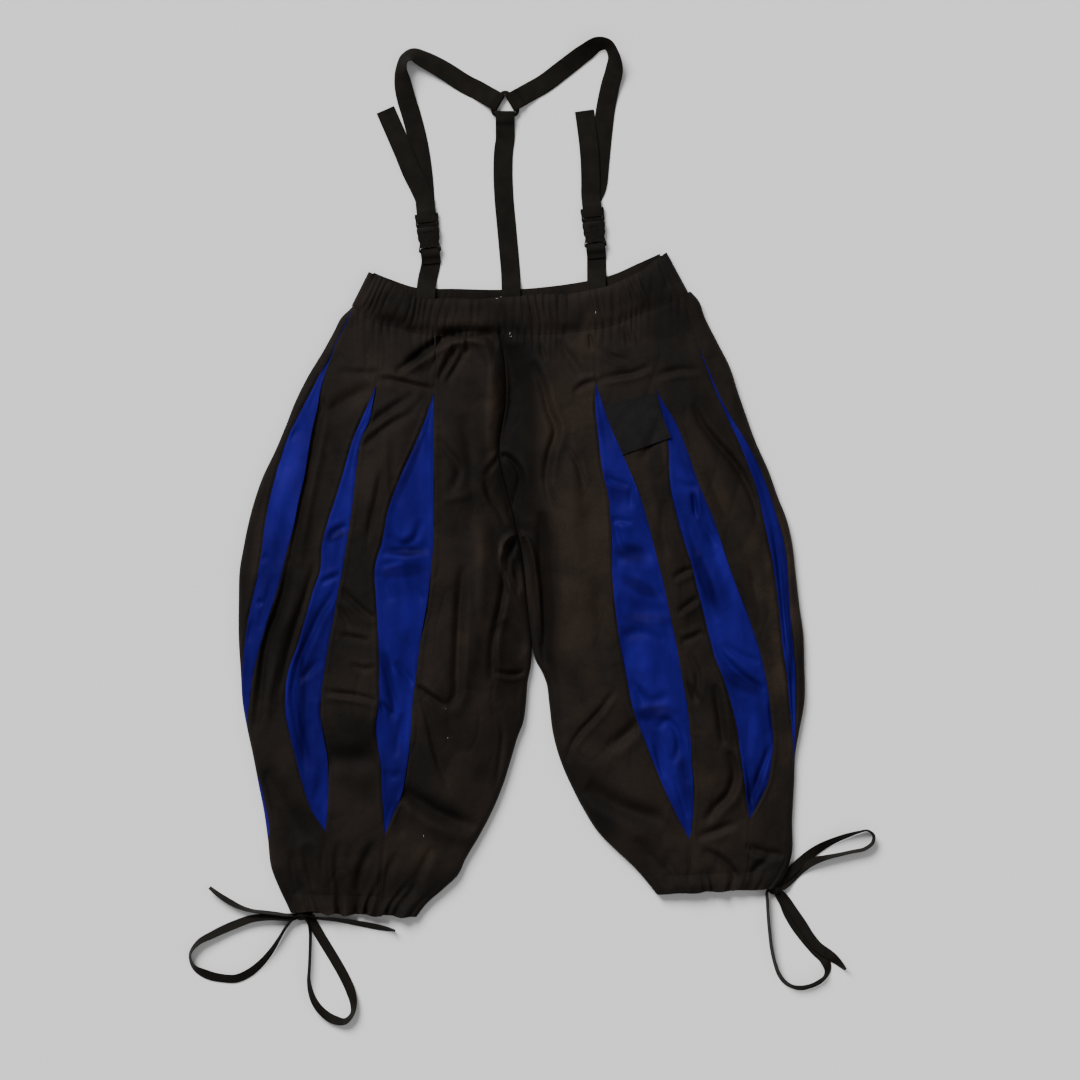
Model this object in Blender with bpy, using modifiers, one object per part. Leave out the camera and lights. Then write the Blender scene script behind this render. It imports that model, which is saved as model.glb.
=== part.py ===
"""Renaissance trousers laid flat: slashed knee breeches with a gathered waistband and braces.

Metres, +Z up, the floor at z = 0. The garment lies on its back, waist towards +Y, and the
wearer's right leg is at -X. The origin is the middle of the laid garment on the floor.
"""

import math
from collections import namedtuple

import bmesh
import bpy
import numpy as np
from mathutils import Vector

MM = 0.001
GARMENT = "renaissance_trousers"

# Cloth, webbing and seams
COTTON_WALL = 1.6 * MM
SATIN_WALL = 1.3 * MM
BAND_WALL = 2.0 * MM
SEAM_GAP = 0.3 * MM
ROLLED_SEAM_GAP = 0.9 * MM
FOLD_RADIUS = 6.0 * MM
SIDE_WRAP = 20.0 * MM
WEBBING_WIDTH = 20.0 * MM
WEBBING_THICK = 1.4 * MM
LACE_WIDTH = 11.0 * MM
LACE_THICK = 1.0 * MM

# Rows down a leg from the waist seam (0) to the hem seam (1)
LEG_ROWS = 30
CROTCH_ROW = 11
CROTCH_DOWN = CROTCH_ROW / LEG_ROWS
CROTCH_Y = -65 * MM
INSEAM_TURN = 0.1
HEM_END = 1.034
LEG_LENGTH = 620 * MM

# Height of the laid leg
WAIST_CREST = 14 * MM
LEG_CREST = 36 * MM
HEM_CREST = 14 * MM
LOWEST_TROUGH = 9.5 * MM
SEAM_DIP = 2.2 * MM
SEAM_DIP_WIDTH = 7 * MM
OUTER_DOME = 0.4
INNER_DOME = 0.32

# Gathers
BAND_GATHERS = 38
BAND_GATHER_HEIGHT = 1.1 * MM
HEM_GATHERS = 14
HEM_GATHER_HEIGHT = 1.0 * MM
HEM_SCALLOP = 1.2 * MM

# Sections of each leg in mm: the height y in the laid plane, then x of the outer edge, of the
# two edges of each slash from the side to the front, and of the inner edge.
Section = namedtuple("Section", "y outer s3_out s3_in s2_out s2_in s1_out s1_in inner")

RIGHT_SECTIONS = [
    Section(215, -172, -165, -165, -150, -150, -94, -94, -32),
    Section(180, -198, -189, -189, -153, -153, -95, -95, -30),
    Section(140, -218, -206, -206, -157, -157, -96, -96, -21),
    Section(85, -249, -236, -224, -167, -164, -100, -97, -18),
    Section(30, -274, -261, -236, -189, -180, -121, -97, -25),
    Section(-25, -294, -277, -246, -205, -185, -143, -97, -13),
    Section(-80, -307, -285, -258, -218, -193, -156, -97, -1),
    Section(-135, -311, -294, -274, -230, -204, -158, -104, 5),
    Section(-190, -311, -303, -289, -248, -213, -157, -113, 11),
    Section(-245, -308, -307, -300, -260, -220, -157, -119, 5),
    Section(-300, -297, -300, -294, -250, -214, -156, -124, -9),
    Section(-355, -287, -289, -282, -235, -214, -152, -135, -25),
    Section(-410, -279, -270, -270, -214, -214, -151, -151, -55),
    Section(-470, -258, -247, -247, -209, -209, -158, -158, -107),
    Section(-485, -250, -240, -240, -207, -207, -160, -160, -118),
]
LEFT_SECTIONS = [
    Section(215, 177, 170, 170, 119, 119, 81, 81, -32),
    Section(180, 199, 186, 186, 120, 120, 81, 81, -30),
    Section(140, 220, 198, 198, 123, 123, 81, 81, -21),
    Section(85, 242, 220, 216, 156, 150, 88, 80, -18),
    Section(30, 260, 251, 241, 181, 160, 108, 85, -25),
    Section(-25, 283, 274, 261, 202, 165, 131, 95, -13),
    Section(-80, 298, 290, 273, 222, 181, 146, 98, 0),
    Section(-135, 304, 295, 281, 241, 196, 160, 100, 6),
    Section(-190, 310, 298, 286, 259, 210, 171, 109, 12),
    Section(-245, 310, 301, 294, 272, 228, 180, 119, 30),
    Section(-300, 302, 302, 297, 274, 238, 186, 139, 39),
    Section(-355, 298, 298, 297, 259, 247, 188, 163, 63),
    Section(-410, 295, 293, 293, 250, 250, 183, 183, 107),
    Section(-440, 288, 281, 281, 246, 246, 183, 183, 132),
    Section(-470, 265, 259, 259, 236, 236, 183, 183, 158),
]

# Waist seam and hem seam: q is the share of the way from the outer edge to the inner edge
SeamPoint = namedtuple("SeamPoint", "q y")
RIGHT_WAIST = [SeamPoint(0, 189), SeamPoint(0.15, 170), SeamPoint(0.28, 165), SeamPoint(0.44, 158),
               SeamPoint(0.7, 156), SeamPoint(1, 157)]
LEFT_WAIST = [SeamPoint(0, 205), SeamPoint(0.14, 189), SeamPoint(0.27, 179), SeamPoint(0.39, 168),
              SeamPoint(0.52, 162), SeamPoint(0.67, 158), SeamPoint(1, 157)]
RIGHT_HEM = [SeamPoint(0, -456), SeamPoint(1, -461)]
LEFT_HEM = [SeamPoint(0, -430), SeamPoint(1, -438)]

# Rows between which each slash is open
Slash = namedtuple("Slash", "number first_row last_row")
RIGHT_SLASHES = [Slash(3, 3, 27), Slash(2, 3, 27), Slash(1, 3, 27)]
LEFT_SLASHES = [Slash(3, 4, 26), Slash(2, 4, 27), Slash(1, 3, 28)]
TIP_HALF_WIDTH = 0.8 * MM

# The largest folds: a soft trough (or ridge, with a negative depth) along a short line, mm
Fold = namedtuple("Fold", "depth width line")
FOLDS = {
    "bunched under the band": Fold(7, 9, [(-117, 138), (-90, 160), (-53, 169), (-30, 160)]),
    "under the bunch": Fold(-5, 11, [(-120, 122), (-88, 140), (-50, 148)]),
    "slash tips right": Fold(3, 9, [(-160, 107), (-118, 100), (-96, 96)]),
    "hip drag right": Fold(4, 11, [(-174, 52), (-145, 70), (-112, 94)]),
    "hip drag low": Fold(4, 11, [(-167, 38), (-140, 58), (-115, 70)]),
    "front beside centre": Fold(-5, 14, [(-44, 130), (-42, 40), (-50, -40)]),
    "side trough right": Fold(6, 12, [(-255, -88), (-266, -140), (-284, -200), (-290, -270)]),
    "pane bend right": Fold(5, 12, [(-215, -285), (-180, -290), (-156, -284)]),
    "insert two crease": Fold(4, 9, [(-203, -100), (-226, -160), (-246, -215), (-240, -290)]),
    "knee hollow": Fold(-6, 16, [(-52, -90), (-52, -180), (-60, -235)]),
    "inner trough": Fold(6, 10, [(-34, -90), (-33, -200), (-28, -250)]),
    "knee v fold": Fold(5, 12, [(-116, -228), (-85, -250), (-70, -236)]),
    "knee drag": Fold(5, 14, [(-132, -328), (-100, -352), (-66, -378)]),
    "hip line left": Fold(4, 10, [(90, 109), (137, 118), (182, 116)]),
    "front roll left": Fold(-5, 14, [(60, 90), (55, -20), (58, -130)]),
    "centre shadow left": Fold(5, 12, [(26, 60), (28, 0), (36, -36)]),
    "long fold left": Fold(5, 12, [(190, 76), (201, 52), (228, 20), (250, -14)]),
    "insert two slit left": Fold(4, 9, [(187, -20), (193, -60), (205, -120)]),
    "knee arc left": Fold(4, 12, [(100, -236), (84, -261), (65, -281), (53, -300)]),
    "knee drag left": Fold(6, 13, [(86, -341), (120, -362), (157, -378)]),
    "pane fold left": Fold(5, 11, [(235, -317), (230, -346), (211, -362), (204, -378)]),
    "hem drag left": Fold(4, 11, [(250, -404), (270, -412), (288, -414)]),
}

# The waistband, mm: x of its lower seam, then the front's top edge and the back's top edge
BandPoint = namedtuple("BandPoint", "seam_x front_x front_y back_x back_y")
BAND = [
    BandPoint(-184, -166, 225, -166, 227),
    BandPoint(-166, -146, 216, -146, 219),
    BandPoint(-124, -114, 198, -114, 209),
    BandPoint(-79, -72, 197, -72, 208),
    BandPoint(-30, -27, 198, -27, 207),
    BandPoint(20, 15, 201, 15, 209),
    BandPoint(66, 62, 204, 62, 215),
    BandPoint(105, 98, 212, 98, 223),
    BandPoint(145, 128, 227, 128, 236),
    BandPoint(181, 157, 246, 157, 249),
]
BAND_LAID_WIDTH = 345 * MM
BAND_RADIUS = 6 * MM
BAND_CREST = 15 * MM
BAND_END_GAP = 3.5 * MM
BAND_TURN_EASE = 12 * MM
BAND_RISE_EASE = 40 * MM

# The blank patch: its corners on the left leg's front in mm, and how far it lies off the cloth
LABEL_CORNERS = [(91, 79), (144, 93), (163, 44), (110, 25)]
LABEL_LIFT = 1.1 * MM
LABEL_THICK = 0.8 * MM
LABEL_SQUARES = 5

# Ring and buckles in mm: a buckle is a frame that the brace runs through and a socket below it,
# placed along the buckle's own length, ahead of its middle towards the shoulder
RING_AT = (-18.5, 409)
RING_RADIUS = 24.0
RING_HOLE_RADIUS = 17.0
RING_THICK = 3.0
HARDWARE_MIDDLE = 3.5
BUCKLE_AT = {"right": (-103, 269), "left": (79, 275)}
BUCKLE_TURN = {"right": 6, "left": 5.5}
FRAME_AHEAD = 14.2
FRAME_LENGTH = 15.0
FRAME_WIDTH = 26.0
FRAME_THICK = 3.0
SOCKET_AHEAD = -7.4
SOCKET_LENGTH = 27.0
SOCKET_WIDTH = 25.0
SOCKET_THICK = 6.2
SOCKET_BOTTOM = 1.95
SLOT_WIDTH = 3.6
SLOT_LENGTH = 21.5
UPPER_SLOT_AHEAD = 17.6
LOWER_SLOT_AHEAD = 11.0
TAB_SLOT_AHEAD = -15.9
FRAME_BAR_AHEAD = 14.3
TAB_BAR_AHEAD = -19.3
RING_BAR = (RING_RADIUS + RING_HOLE_RADIUS) / 4
RING_HALF_BAR = (RING_RADIUS - RING_HOLE_RADIUS) / 4
FRAME_HALF_BAR = 1.5
TAB_HALF_BAR = 1.6
SHOULDER_STRAP_ANGLE = 30

# Webbing round a bar: (distance from the bar, lift) in mm before and after the half turn
WRAP_SQUARENESS = 0.5
UNDER_RING = [(14, 0), (5, 0)]
OFF_RING = [(6, 5.0), (11, 2.6), (17, 1.7), (26, 0.1)]
UNDER_FRAME = [(22, 0), (10, 0), (4, 0)]
OFF_FRAME = [(6, 5.4), (10, 5.2), (15, 3.4), (22, 1.9)]
UNDER_TAB = [(9, 0), (5, 0)]
OFF_TAB = [(5, 5.2), (9, 3.0), (14, 1.8)]

# Ways of the webbing and the laces, mm: the middle line in the laid plane, how far the tape
# lies above the floor, and how far it is tilted on to its edge, in degrees
Way = namedtuple("Way", "x y lift tilt")
BACK_STRAP = [
    Way(-20, 362, 0, 0), Way(-21, 340, 0, 0), Way(-20, 310, 0, 0), Way(-17, 276, 0, 0),
    Way(-14, 243, 0, 0), Way(-12.6, 226, 0.1, 0), Way(-12.2, 217, 1.5, 0),
    Way(-12, 211, 3.5, 0), Way(-11.6, 190, 3.6, 0),
]
SHOULDER = {
    "right": [
        Way(-58, 431, 0, 0), Way(-87, 449, 0, 10), Way(-108, 460, 0, 25), Way(-121, 465, 0, 45),
        Way(-129, 461, 0, 58), Way(-132.5, 451, 0, 55), Way(-131, 434, 0, 25),
        Way(-127, 416, 0, 8), Way(-122, 400, 0, 0), Way(-114, 368, 0, 0), Way(-109, 335, 0, 0),
    ],
    "left": [
        Way(20, 431, 0, 0), Way(46, 450, 0, 10), Way(70, 468, 0, 25), Way(85, 477, 0, 45),
        Way(94, 476, 0, 58), Way(100.5, 465, 0, 55), Way(101.5, 450, 0, 25),
        Way(98, 431, 0, 8), Way(93, 409, 0, 0), Way(88, 378, 0, 0), Way(83, 340, 0, 0),
    ],
}
BRACE_TAIL = {
    "right": [Way(-112, 318, 1.8, 0), Way(-121, 336, 1.8, 0), Way(-130, 358, 1.8, 0),
              Way(-138, 377, 1.0, 0), Way(-149, 402, 0, 0)],
    "left": [Way(75.5, 322, 1.8, 0), Way(75, 345, 1.8, 0), Way(73, 370, 1.8, 0),
             Way(71, 386, 1.0, 0), Way(68.5, 404, 0, 0)],
}
TAB_FOOT = {
    "right": [Way(-104, 218, 0.2, 0), Way(-105, 211, 3.4, 0), Way(-105.5, 203, 6.6, 0),
              Way(-106, 190, 9.6, 0)],
    "left": [Way(82, 230, 0.2, 0), Way(82, 222, 3.4, 0), Way(82, 212, 6.6, 0),
             Way(82, 194, 9.6, 0)],
}

# Knots and laces of the hems
KNOT_AT = {"right": (-252, -485), "left": (284.4, -457.2)}
KNOT_SIZE = (6.3, 6.3, 4.8)
LACES = {
    "right_lace_short_end": [
        Way(-258.2, -482.2, 0, 75), Way(-268, -479.4, 0, 74), Way(-282, -477.4, 0, 74),
        Way(-297, -475.6, 0, 74), Way(-309, -472, 0, 68), Way(-321, -466, 0, 60),
        Way(-333, -458.3, 0, 66), Way(-343.5, -450, 0, 76)],
    "right_lace_outer_loop": [
        Way(-258.5, -486.5, 0, 75), Way(-267, -484.6, 0, 74), Way(-280, -482.7, 0, 70),
        Way(-297, -484.6, 0, 45), Way(-318, -492, 0, 35), Way(-340, -502, 0, 45),
        Way(-356.8, -511.5, 0, 62), Way(-365, -524, 0, 76), Way(-361.4, -536.3, 0, 62),
        Way(-347.2, -545.6, 0, 25), Way(-329, -550, 0, 30), Way(-314.5, -550.4, 0, 30),
        Way(-301.4, -545, 0, 32), Way(-286.6, -533.2, 0, 45), Way(-274.8, -518.9, 0, 60),
        Way(-266.4, -505.4, 0, 72), Way(-257.2, -491.5, 0, 78)],
    "right_lace_lower_loop": [
        Way(-247.1, -489.7, 0, 75), Way(-238.6, -494, 0, 68), Way(-229.5, -500, 0, 45),
        Way(-218.8, -511, 0, 20), Way(-207, -528, 0, 0), Way(-196, -547.4, 0, 0),
        Way(-188.4, -564.3, 0, 15), Way(-185.2, -578, 0, 45), Way(-186.8, -589.5, 0, 66),
        Way(-194.5, -597.3, 0, 55), Way(-206.8, -595.6, 0, 30), Way(-218.9, -587.6, 0, 38),
        Way(-227.6, -576.6, 0, 50), Way(-232.4, -564.3, 0, 62), Way(-234.3, -552, 0, 72),
        Way(-233.8, -537.7, 0, 76), Way(-234.2, -523, 0, 74), Way(-237.6, -509.5, 0, 74),
        Way(-244, -499, 0, 76), Way(-251, -492.5, 0, 78)],
    "right_lace_long_end": [
        Way(-245.2, -486.5, 0, 78), Way(-232, -487.4, 0, 76), Way(-212, -487.6, 0, 74),
        Way(-190, -489.4, 0, 72), Way(-168, -492.6, 0, 66), Way(-151, -495.8, 0, 70),
        Way(-139, -498, 0, 78)],
    "left_lace_outer_loop": [
        Way(288.5, -451.6, 0, 78), Way(294, -439, 0, 72), Way(302, -426.6, 0, 50),
        Way(313.5, -415.8, 0, 22), Way(326.5, -407.2, 0, 28), Way(342.8, -398.8, 0, 50),
        Way(358.6, -392.8, 0, 62), Way(370.5, -389.2, 0, 74), Way(380, -387.6, 0, 78),
        Way(386.6, -393, 0, 76), Way(385.6, -400.3, 0, 76), Way(378.2, -406.9, 0, 74),
        Way(362.6, -412.4, 0, 74), Way(346.7, -417, 0, 72), Way(330.9, -421.8, 0, 68),
        Way(318, -427.6, 0, 64), Way(307.5, -435, 0, 68), Way(299.6, -443.6, 0, 74),
        Way(291.5, -453.5, 0, 78)],
    "left_lace_lower_loop": [
        Way(279.7, -462.1, 0, 78), Way(273.6, -472.5, 0, 76), Way(271.8, -484, 0, 76),
        Way(272.6, -500, 0, 75), Way(274.6, -518.8, 0, 74), Way(278.4, -534.6, 0, 72),
        Way(282.8, -546, 0, 68), Way(289.6, -554.6, 0, 66), Way(297.4, -559, 0, 66),
        Way(306, -560.6, 0, 58), Way(317, -558.6, 0, 60), Way(326.9, -554, 0, 58),
        Way(333.6, -548, 0, 62), Way(336, -540.5, 0, 48), Way(333.2, -530.4, 0, 8),
        Way(322.6, -519.9, 0, 0), Way(311.5, -509.6, 0, 10), Way(302.3, -499, 0, 45),
        Way(294.6, -487.9, 0, 55), Way(288.8, -476.3, 0, 66), Way(285.3, -466, 0, 78)],
    "left_lace_long_end": [
        Way(290.2, -460.7, 0, 78), Way(298.4, -471, 0, 62), Way(305.6, -482.8, 0, 55),
        Way(313.2, -494, 1.3, 40), Way(321.2, -505.8, 1.9, 5), Way(330.4, -516.6, 1.9, 0),
        Way(339, -524, 1.5, 0), Way(347.4, -532, 0, 45), Way(355.6, -540.4, 0, 74)],
}


def smooth_through(xs, ys, x):
    """Value at x of the smooth curve through the points, by cubic Hermite pieces."""
    xs, ys = np.asarray(xs, float), np.asarray(ys, float)
    slope = np.gradient(ys, xs)
    i = np.clip(np.searchsorted(xs, x) - 1, 0, len(xs) - 2)
    step = xs[i + 1] - xs[i]
    t = (x - xs[i]) / step
    start = (2 * t**3 - 3 * t**2 + 1) * ys[i] + (t**3 - 2 * t**2 + t) * step * slope[i]
    return start + (3 * t**2 - 2 * t**3) * ys[i + 1] + (t**3 - t**2) * step * slope[i + 1]


def ease(t):
    """0 below 0, 1 above 1, smooth between."""
    t = np.clip(t, 0, 1)
    return t * t * (3 - 2 * t)


def material(name, colour, roughness, metallic=0.0, sheen=0.0):
    mat = bpy.data.materials.new(name)
    mat.use_nodes = True
    shader = mat.node_tree.nodes["Principled BSDF"]
    shader.inputs["Base Color"].default_value = (*colour, 1)
    shader.inputs["Roughness"].default_value = roughness
    shader.inputs["Metallic"].default_value = metallic
    shader.inputs["Sheen Weight"].default_value = sheen
    mat.diffuse_color = (*colour, 1)
    return mat


def add_object(name, mesh, mat, collection):
    mesh.materials.append(mat)
    obj = bpy.data.objects.new(name, mesh)
    collection.objects.link(obj)
    return obj


def sheet_solid(name, outside, inside, mat, collection):
    """Closed wall between two grids of points, rows by columns: one flat grid, extruded."""
    rows, columns = outside.shape[:2]
    bm = bmesh.new()
    bmesh.ops.create_grid(bm, x_segments=columns - 1, y_segments=rows - 1, size=0.5)
    extruded = bmesh.ops.extrude_face_region(bm, geom=bm.faces[:])
    inner = {item for item in extruded["geom"] if isinstance(item, bmesh.types.BMVert)}
    for vert in bm.verts:
        column = round((vert.co.x + 0.5) * (columns - 1))
        row = round((vert.co.y + 0.5) * (rows - 1))
        vert.co = inside[row, column] if vert in inner else outside[row, column]
    bmesh.ops.recalc_face_normals(bm, faces=bm.faces[:])
    if bm.calc_volume(signed=True) < 0:
        bmesh.ops.reverse_faces(bm, faces=bm.faces[:])
    mesh = bpy.data.meshes.new(name)
    bm.to_mesh(mesh)
    bm.free()
    mesh.shade_smooth()
    mesh.set_sharp_from_angle(angle=math.radians(50))
    return add_object(name, mesh, mat, collection)


def fold_relief(x, y):
    """Height that the folds add at a point of the laid plane."""
    total = np.zeros(np.broadcast(x, y).shape)
    for fold in FOLDS.values():
        line = np.array(fold.line) * MM
        nearest = np.full(total.shape, np.inf)
        for start, end in zip(line[:-1], line[1:]):
            along = end - start
            t = ((x - start[0]) * along[0] + (y - start[1]) * along[1]) / (along @ along)
            t = np.clip(t, 0, 1)
            away = np.hypot(x - start[0] - t * along[0], y - start[1] - t * along[1])
            nearest = np.minimum(nearest, away)
        total -= fold.depth * MM * np.exp(-((nearest / (fold.width * MM)) ** 2))
    return total


class Leg:
    """One laid trouser leg, as a tube of cloth that lies on its back."""

    def __init__(self, name, sections, waist, hem, slashes, inward):
        self.name = name
        self.inward = inward
        self.slashes = slashes
        self.waist = np.array(waist, float)
        self.hem = np.array(hem, float)
        rows = np.array(sections, float)[::-1] * MM
        self.levels = rows[:, 0]
        self.lines = dict(zip(Section._fields[1:], rows[:, 1:].T))

    def line_x(self, line, y):
        return smooth_through(self.levels, self.lines[line], y)

    def y_at(self, down, q):
        """Height in the laid plane, for a share down the leg and a share across it."""
        q = np.clip(q, 0, 1)
        top = smooth_through(self.waist[:, 0], self.waist[:, 1], q) * MM
        low = smooth_through(self.hem[:, 0], self.hem[:, 1], q) * MM
        inner_top, inner_low = self.waist[-1, 1] * MM, self.hem[-1, 1] * MM
        level = inner_top + (inner_low - inner_top) * CROTCH_DOWN
        share = np.minimum(down / CROTCH_DOWN, (1 - down) / (1 - CROTCH_DOWN))
        return top + (low - top) * down + (CROTCH_Y - level) * q**2 * share

    def edges(self, down):
        """x of the outer edge and the width of the laid leg."""
        outer = self.line_x("outer", self.y_at(down, 0))
        inner = self.line_x("inner", self.y_at(down, 1)) - self.inward * SEAM_GAP
        return outer, (inner - outer) * self.inward

    def line_distance(self, line, down):
        """Distance of a slash's edge from the outer edge, along a row."""
        outer, width = self.edges(down)
        q = np.full(np.shape(down), 0.5)
        for _ in range(5):
            distance = (self.line_x(line, self.y_at(down, q)) - outer) * self.inward
            q = distance / width
        return distance

    def slash_edges(self, slash, down):
        """Outer and inner edge of a slash; one line where it is sewn shut."""
        out = self.line_distance(f"s{slash.number}_out", down)
        into = self.line_distance(f"s{slash.number}_in", down)
        first, last = slash.first_row / LEG_ROWS, slash.last_row / LEG_ROWS
        is_open = (down > first - 1e-6) & (down < last + 1e-6)
        half = np.where(is_open, np.maximum((into - out) / 2, TIP_HALF_WIDTH), 0)
        middle = (out + into) / 2
        return middle - half, middle + half

    def crest(self, down):
        rise = np.sin(math.pi * np.clip(down, 0, 1) ** 0.85)
        ends = WAIST_CREST + (HEM_CREST - WAIST_CREST) * down
        return ends + (LEG_CREST - ends) * rise**0.8

    def top_height(self, down, distance):
        """Height of the front, seen from above, away from the rounded sides."""
        outer, width = self.edges(down)
        from_inner = width - distance
        dome = 1 - (1 - np.clip(distance / (OUTER_DOME * width), 0, 1)) ** 2
        dome = dome * (1 - (1 - np.clip(from_inner / (INNER_DOME * width), 0, 1)) ** 2)
        height = 2 * FOLD_RADIUS + (self.crest(down) - 2 * FOLD_RADIUS) * dome
        for slash in self.slashes:
            for edge in self.slash_edges(slash, down):
                off = (distance - edge) / SEAM_DIP_WIDTH
                height = height - 0.5 * SEAM_DIP * np.exp(-(off**2))
        x = outer + self.inward * distance
        y = self.y_at(down, distance / width)
        near = np.minimum(distance, from_inner) / (3 * FOLD_RADIUS)
        height = height + ease(near) * fold_relief(x, y)
        return np.maximum(height, LOWEST_TROUGH)

    def unrolled(self, distance):
        """Arc from the outer edge, for a distance seen from above; below 0 it is underneath."""
        inside = np.clip(1 - distance / FOLD_RADIUS, -1, 1)
        rolled = FOLD_RADIUS * np.arccos(inside)
        flat = distance + (math.pi / 2 - 1) * FOLD_RADIUS
        return np.where(distance < 0, distance, np.where(distance < FOLD_RADIUS, rolled, flat))

    def girth(self, down):
        """Arc from the outer edge over the front to the inner edge."""
        return self.edges(down)[1] + 2 * (math.pi / 2 - 1) * FOLD_RADIUS

    def point(self, down, arc):
        """Point of the cloth's outside, for a share down the leg and an arc across it."""
        outer, width = self.edges(down)
        arc_in = self.girth(down) - arc
        quarter = FOLD_RADIUS * math.pi / 2
        angle = np.clip(np.minimum(arc, arc_in), -quarter, quarter) / FOLD_RADIUS
        round_the_side = FOLD_RADIUS * (1 - np.cos(angle))
        on_top = np.minimum(arc, arc_in) - quarter + FOLD_RADIUS
        beneath = -np.minimum(arc, arc_in) - quarter + FOLD_RADIUS
        from_side = np.where(np.abs(np.minimum(arc, arc_in)) <= quarter, round_the_side,
                             np.maximum(on_top, beneath))
        distance = np.where(arc <= arc_in, from_side, width - from_side)
        over = ease(np.sin(angle))
        height = FOLD_RADIUS * (1 + np.sin(angle))
        rise = self.top_height(down, np.clip(distance, 0, width)) - 2 * FOLD_RADIUS
        z = np.where(angle > 0, height + rise * over, height)
        y = self.y_at(down, distance / width)
        return np.stack([outer + self.inward * distance, y, z], -1)

    def walls(self, down, arc, thickness, gaps=(0.0, 0.0)):
        """Grids of the outside and inside points of a wall, drawn back by a gap at each side."""
        down, arc = np.broadcast_arrays(down, arc)
        by_arc = self.point(down, arc + 0.4 * MM) - self.point(down, arc - 0.4 * MM)
        by_down = self.point(down + 0.001, arc) - self.point(down - 0.001, arc)
        normal = np.cross(by_arc, by_down) * self.inward * -1
        at_seam = (down < 1e-6) | (down > 1 - 1e-6)
        normal[..., 1] = np.where(at_seam, 0, normal[..., 1])
        normal /= np.linalg.norm(normal, axis=-1, keepdims=True)
        sewn = arc.copy()
        sewn[:, 0] += gaps[0]
        sewn[:, -1] -= gaps[1]
        outside = self.point(down, sewn)
        return outside, outside - normal * thickness

    def find(self, x, y):
        """Share down the leg and distance across it of a point of the laid plane."""
        down = np.full(np.shape(x), 0.3)
        for _ in range(12):
            outer, width = self.edges(down)
            distance = (x - outer) * self.inward
            down = down + (self.y_at(down, distance / width) - y) / LEG_LENGTH
        return down, distance


def columns_between(*spans):
    """Columns side by side: each span is (start, end, how many), start and end by row."""
    parts = [spans[0][0][:, None]]
    for start, end, count in spans:
        share = np.arange(1, count + 1) / count
        parts.append(start[:, None] + (end - start)[:, None] * share)
    return np.concatenate(parts, 1)


def build_leg(leg, cotton, satin, collection):
    rows = np.arange(LEG_ROWS + 1) / LEG_ROWS
    quarter = FOLD_RADIUS * math.pi / 2
    edge_out, edge_in = {}, {}
    for slash in leg.slashes:
        out, into = leg.slash_edges(slash, rows)
        edge_out[slash.number] = leg.unrolled(out)
        edge_in[slash.number] = leg.unrolled(into)

    seam = []
    half = SEAM_GAP / 2

    def wall(name, arcs, thickness, mat, gaps=(half, half), first=0, last=LEG_ROWS):
        down = rows[first:last + 1, None]
        outside, inside = leg.walls(down, arcs[first:last + 1], thickness, gaps)
        sheet_solid(f"{leg.name}_{name}", outside, inside, mat, collection)
        if first == 0:
            seam.extend(outside[0])

    back_seam = np.full(rows.shape, -quarter - SIDE_WRAP)
    turn = np.full(rows.shape, -quarter)
    wall("side_panel", columns_between((back_seam, turn, 1), (turn, edge_out[3], 7)),
         COTTON_WALL, cotton, (half, ROLLED_SEAM_GAP / 2))
    wall("side_pane", columns_between((edge_in[3], edge_out[2], 4)), COTTON_WALL, cotton,
         (ROLLED_SEAM_GAP / 2, half))
    wall("front_pane", columns_between((edge_in[2], edge_out[1], 4)), COTTON_WALL, cotton)
    girth = leg.girth(rows)
    wrapped = np.clip((rows - CROTCH_DOWN) / INSEAM_TURN, 0, 1)
    inner_end = girth + quarter * wrapped
    wall("front_panel", columns_between((edge_in[1], girth - quarter, 6),
                                        (girth - quarter, inner_end, 4)), COTTON_WALL, cotton)
    for slash in leg.slashes:
        arcs = columns_between((edge_out[slash.number], edge_in[slash.number], 2))
        gap = (ROLLED_SEAM_GAP if slash.number == 3 else SEAM_GAP) / 2
        wall(f"insert_{slash.number}", arcs, SATIN_WALL, satin, (gap, gap),
             slash.first_row, slash.last_row)

    outer, width = leg.edges(rows)
    from_outer = np.full(rows.shape, FOLD_RADIUS + SIDE_WRAP + SEAM_GAP)
    from_inner = wrapped * (FOLD_RADIUS + SEAM_GAP)
    across = columns_between((from_outer, width - from_inner, 1))
    x = outer[:, None] + leg.inward * across
    y = leg.y_at(rows[:, None], across / width[:, None])
    under = np.stack([x, y, np.zeros(x.shape)], -1)
    over = under + np.array([0, 0, COTTON_WALL])
    sheet_solid(f"{leg.name}_back_panel", under, over, cotton, collection)
    seam.extend(under[0])
    return np.array(seam)


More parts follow.
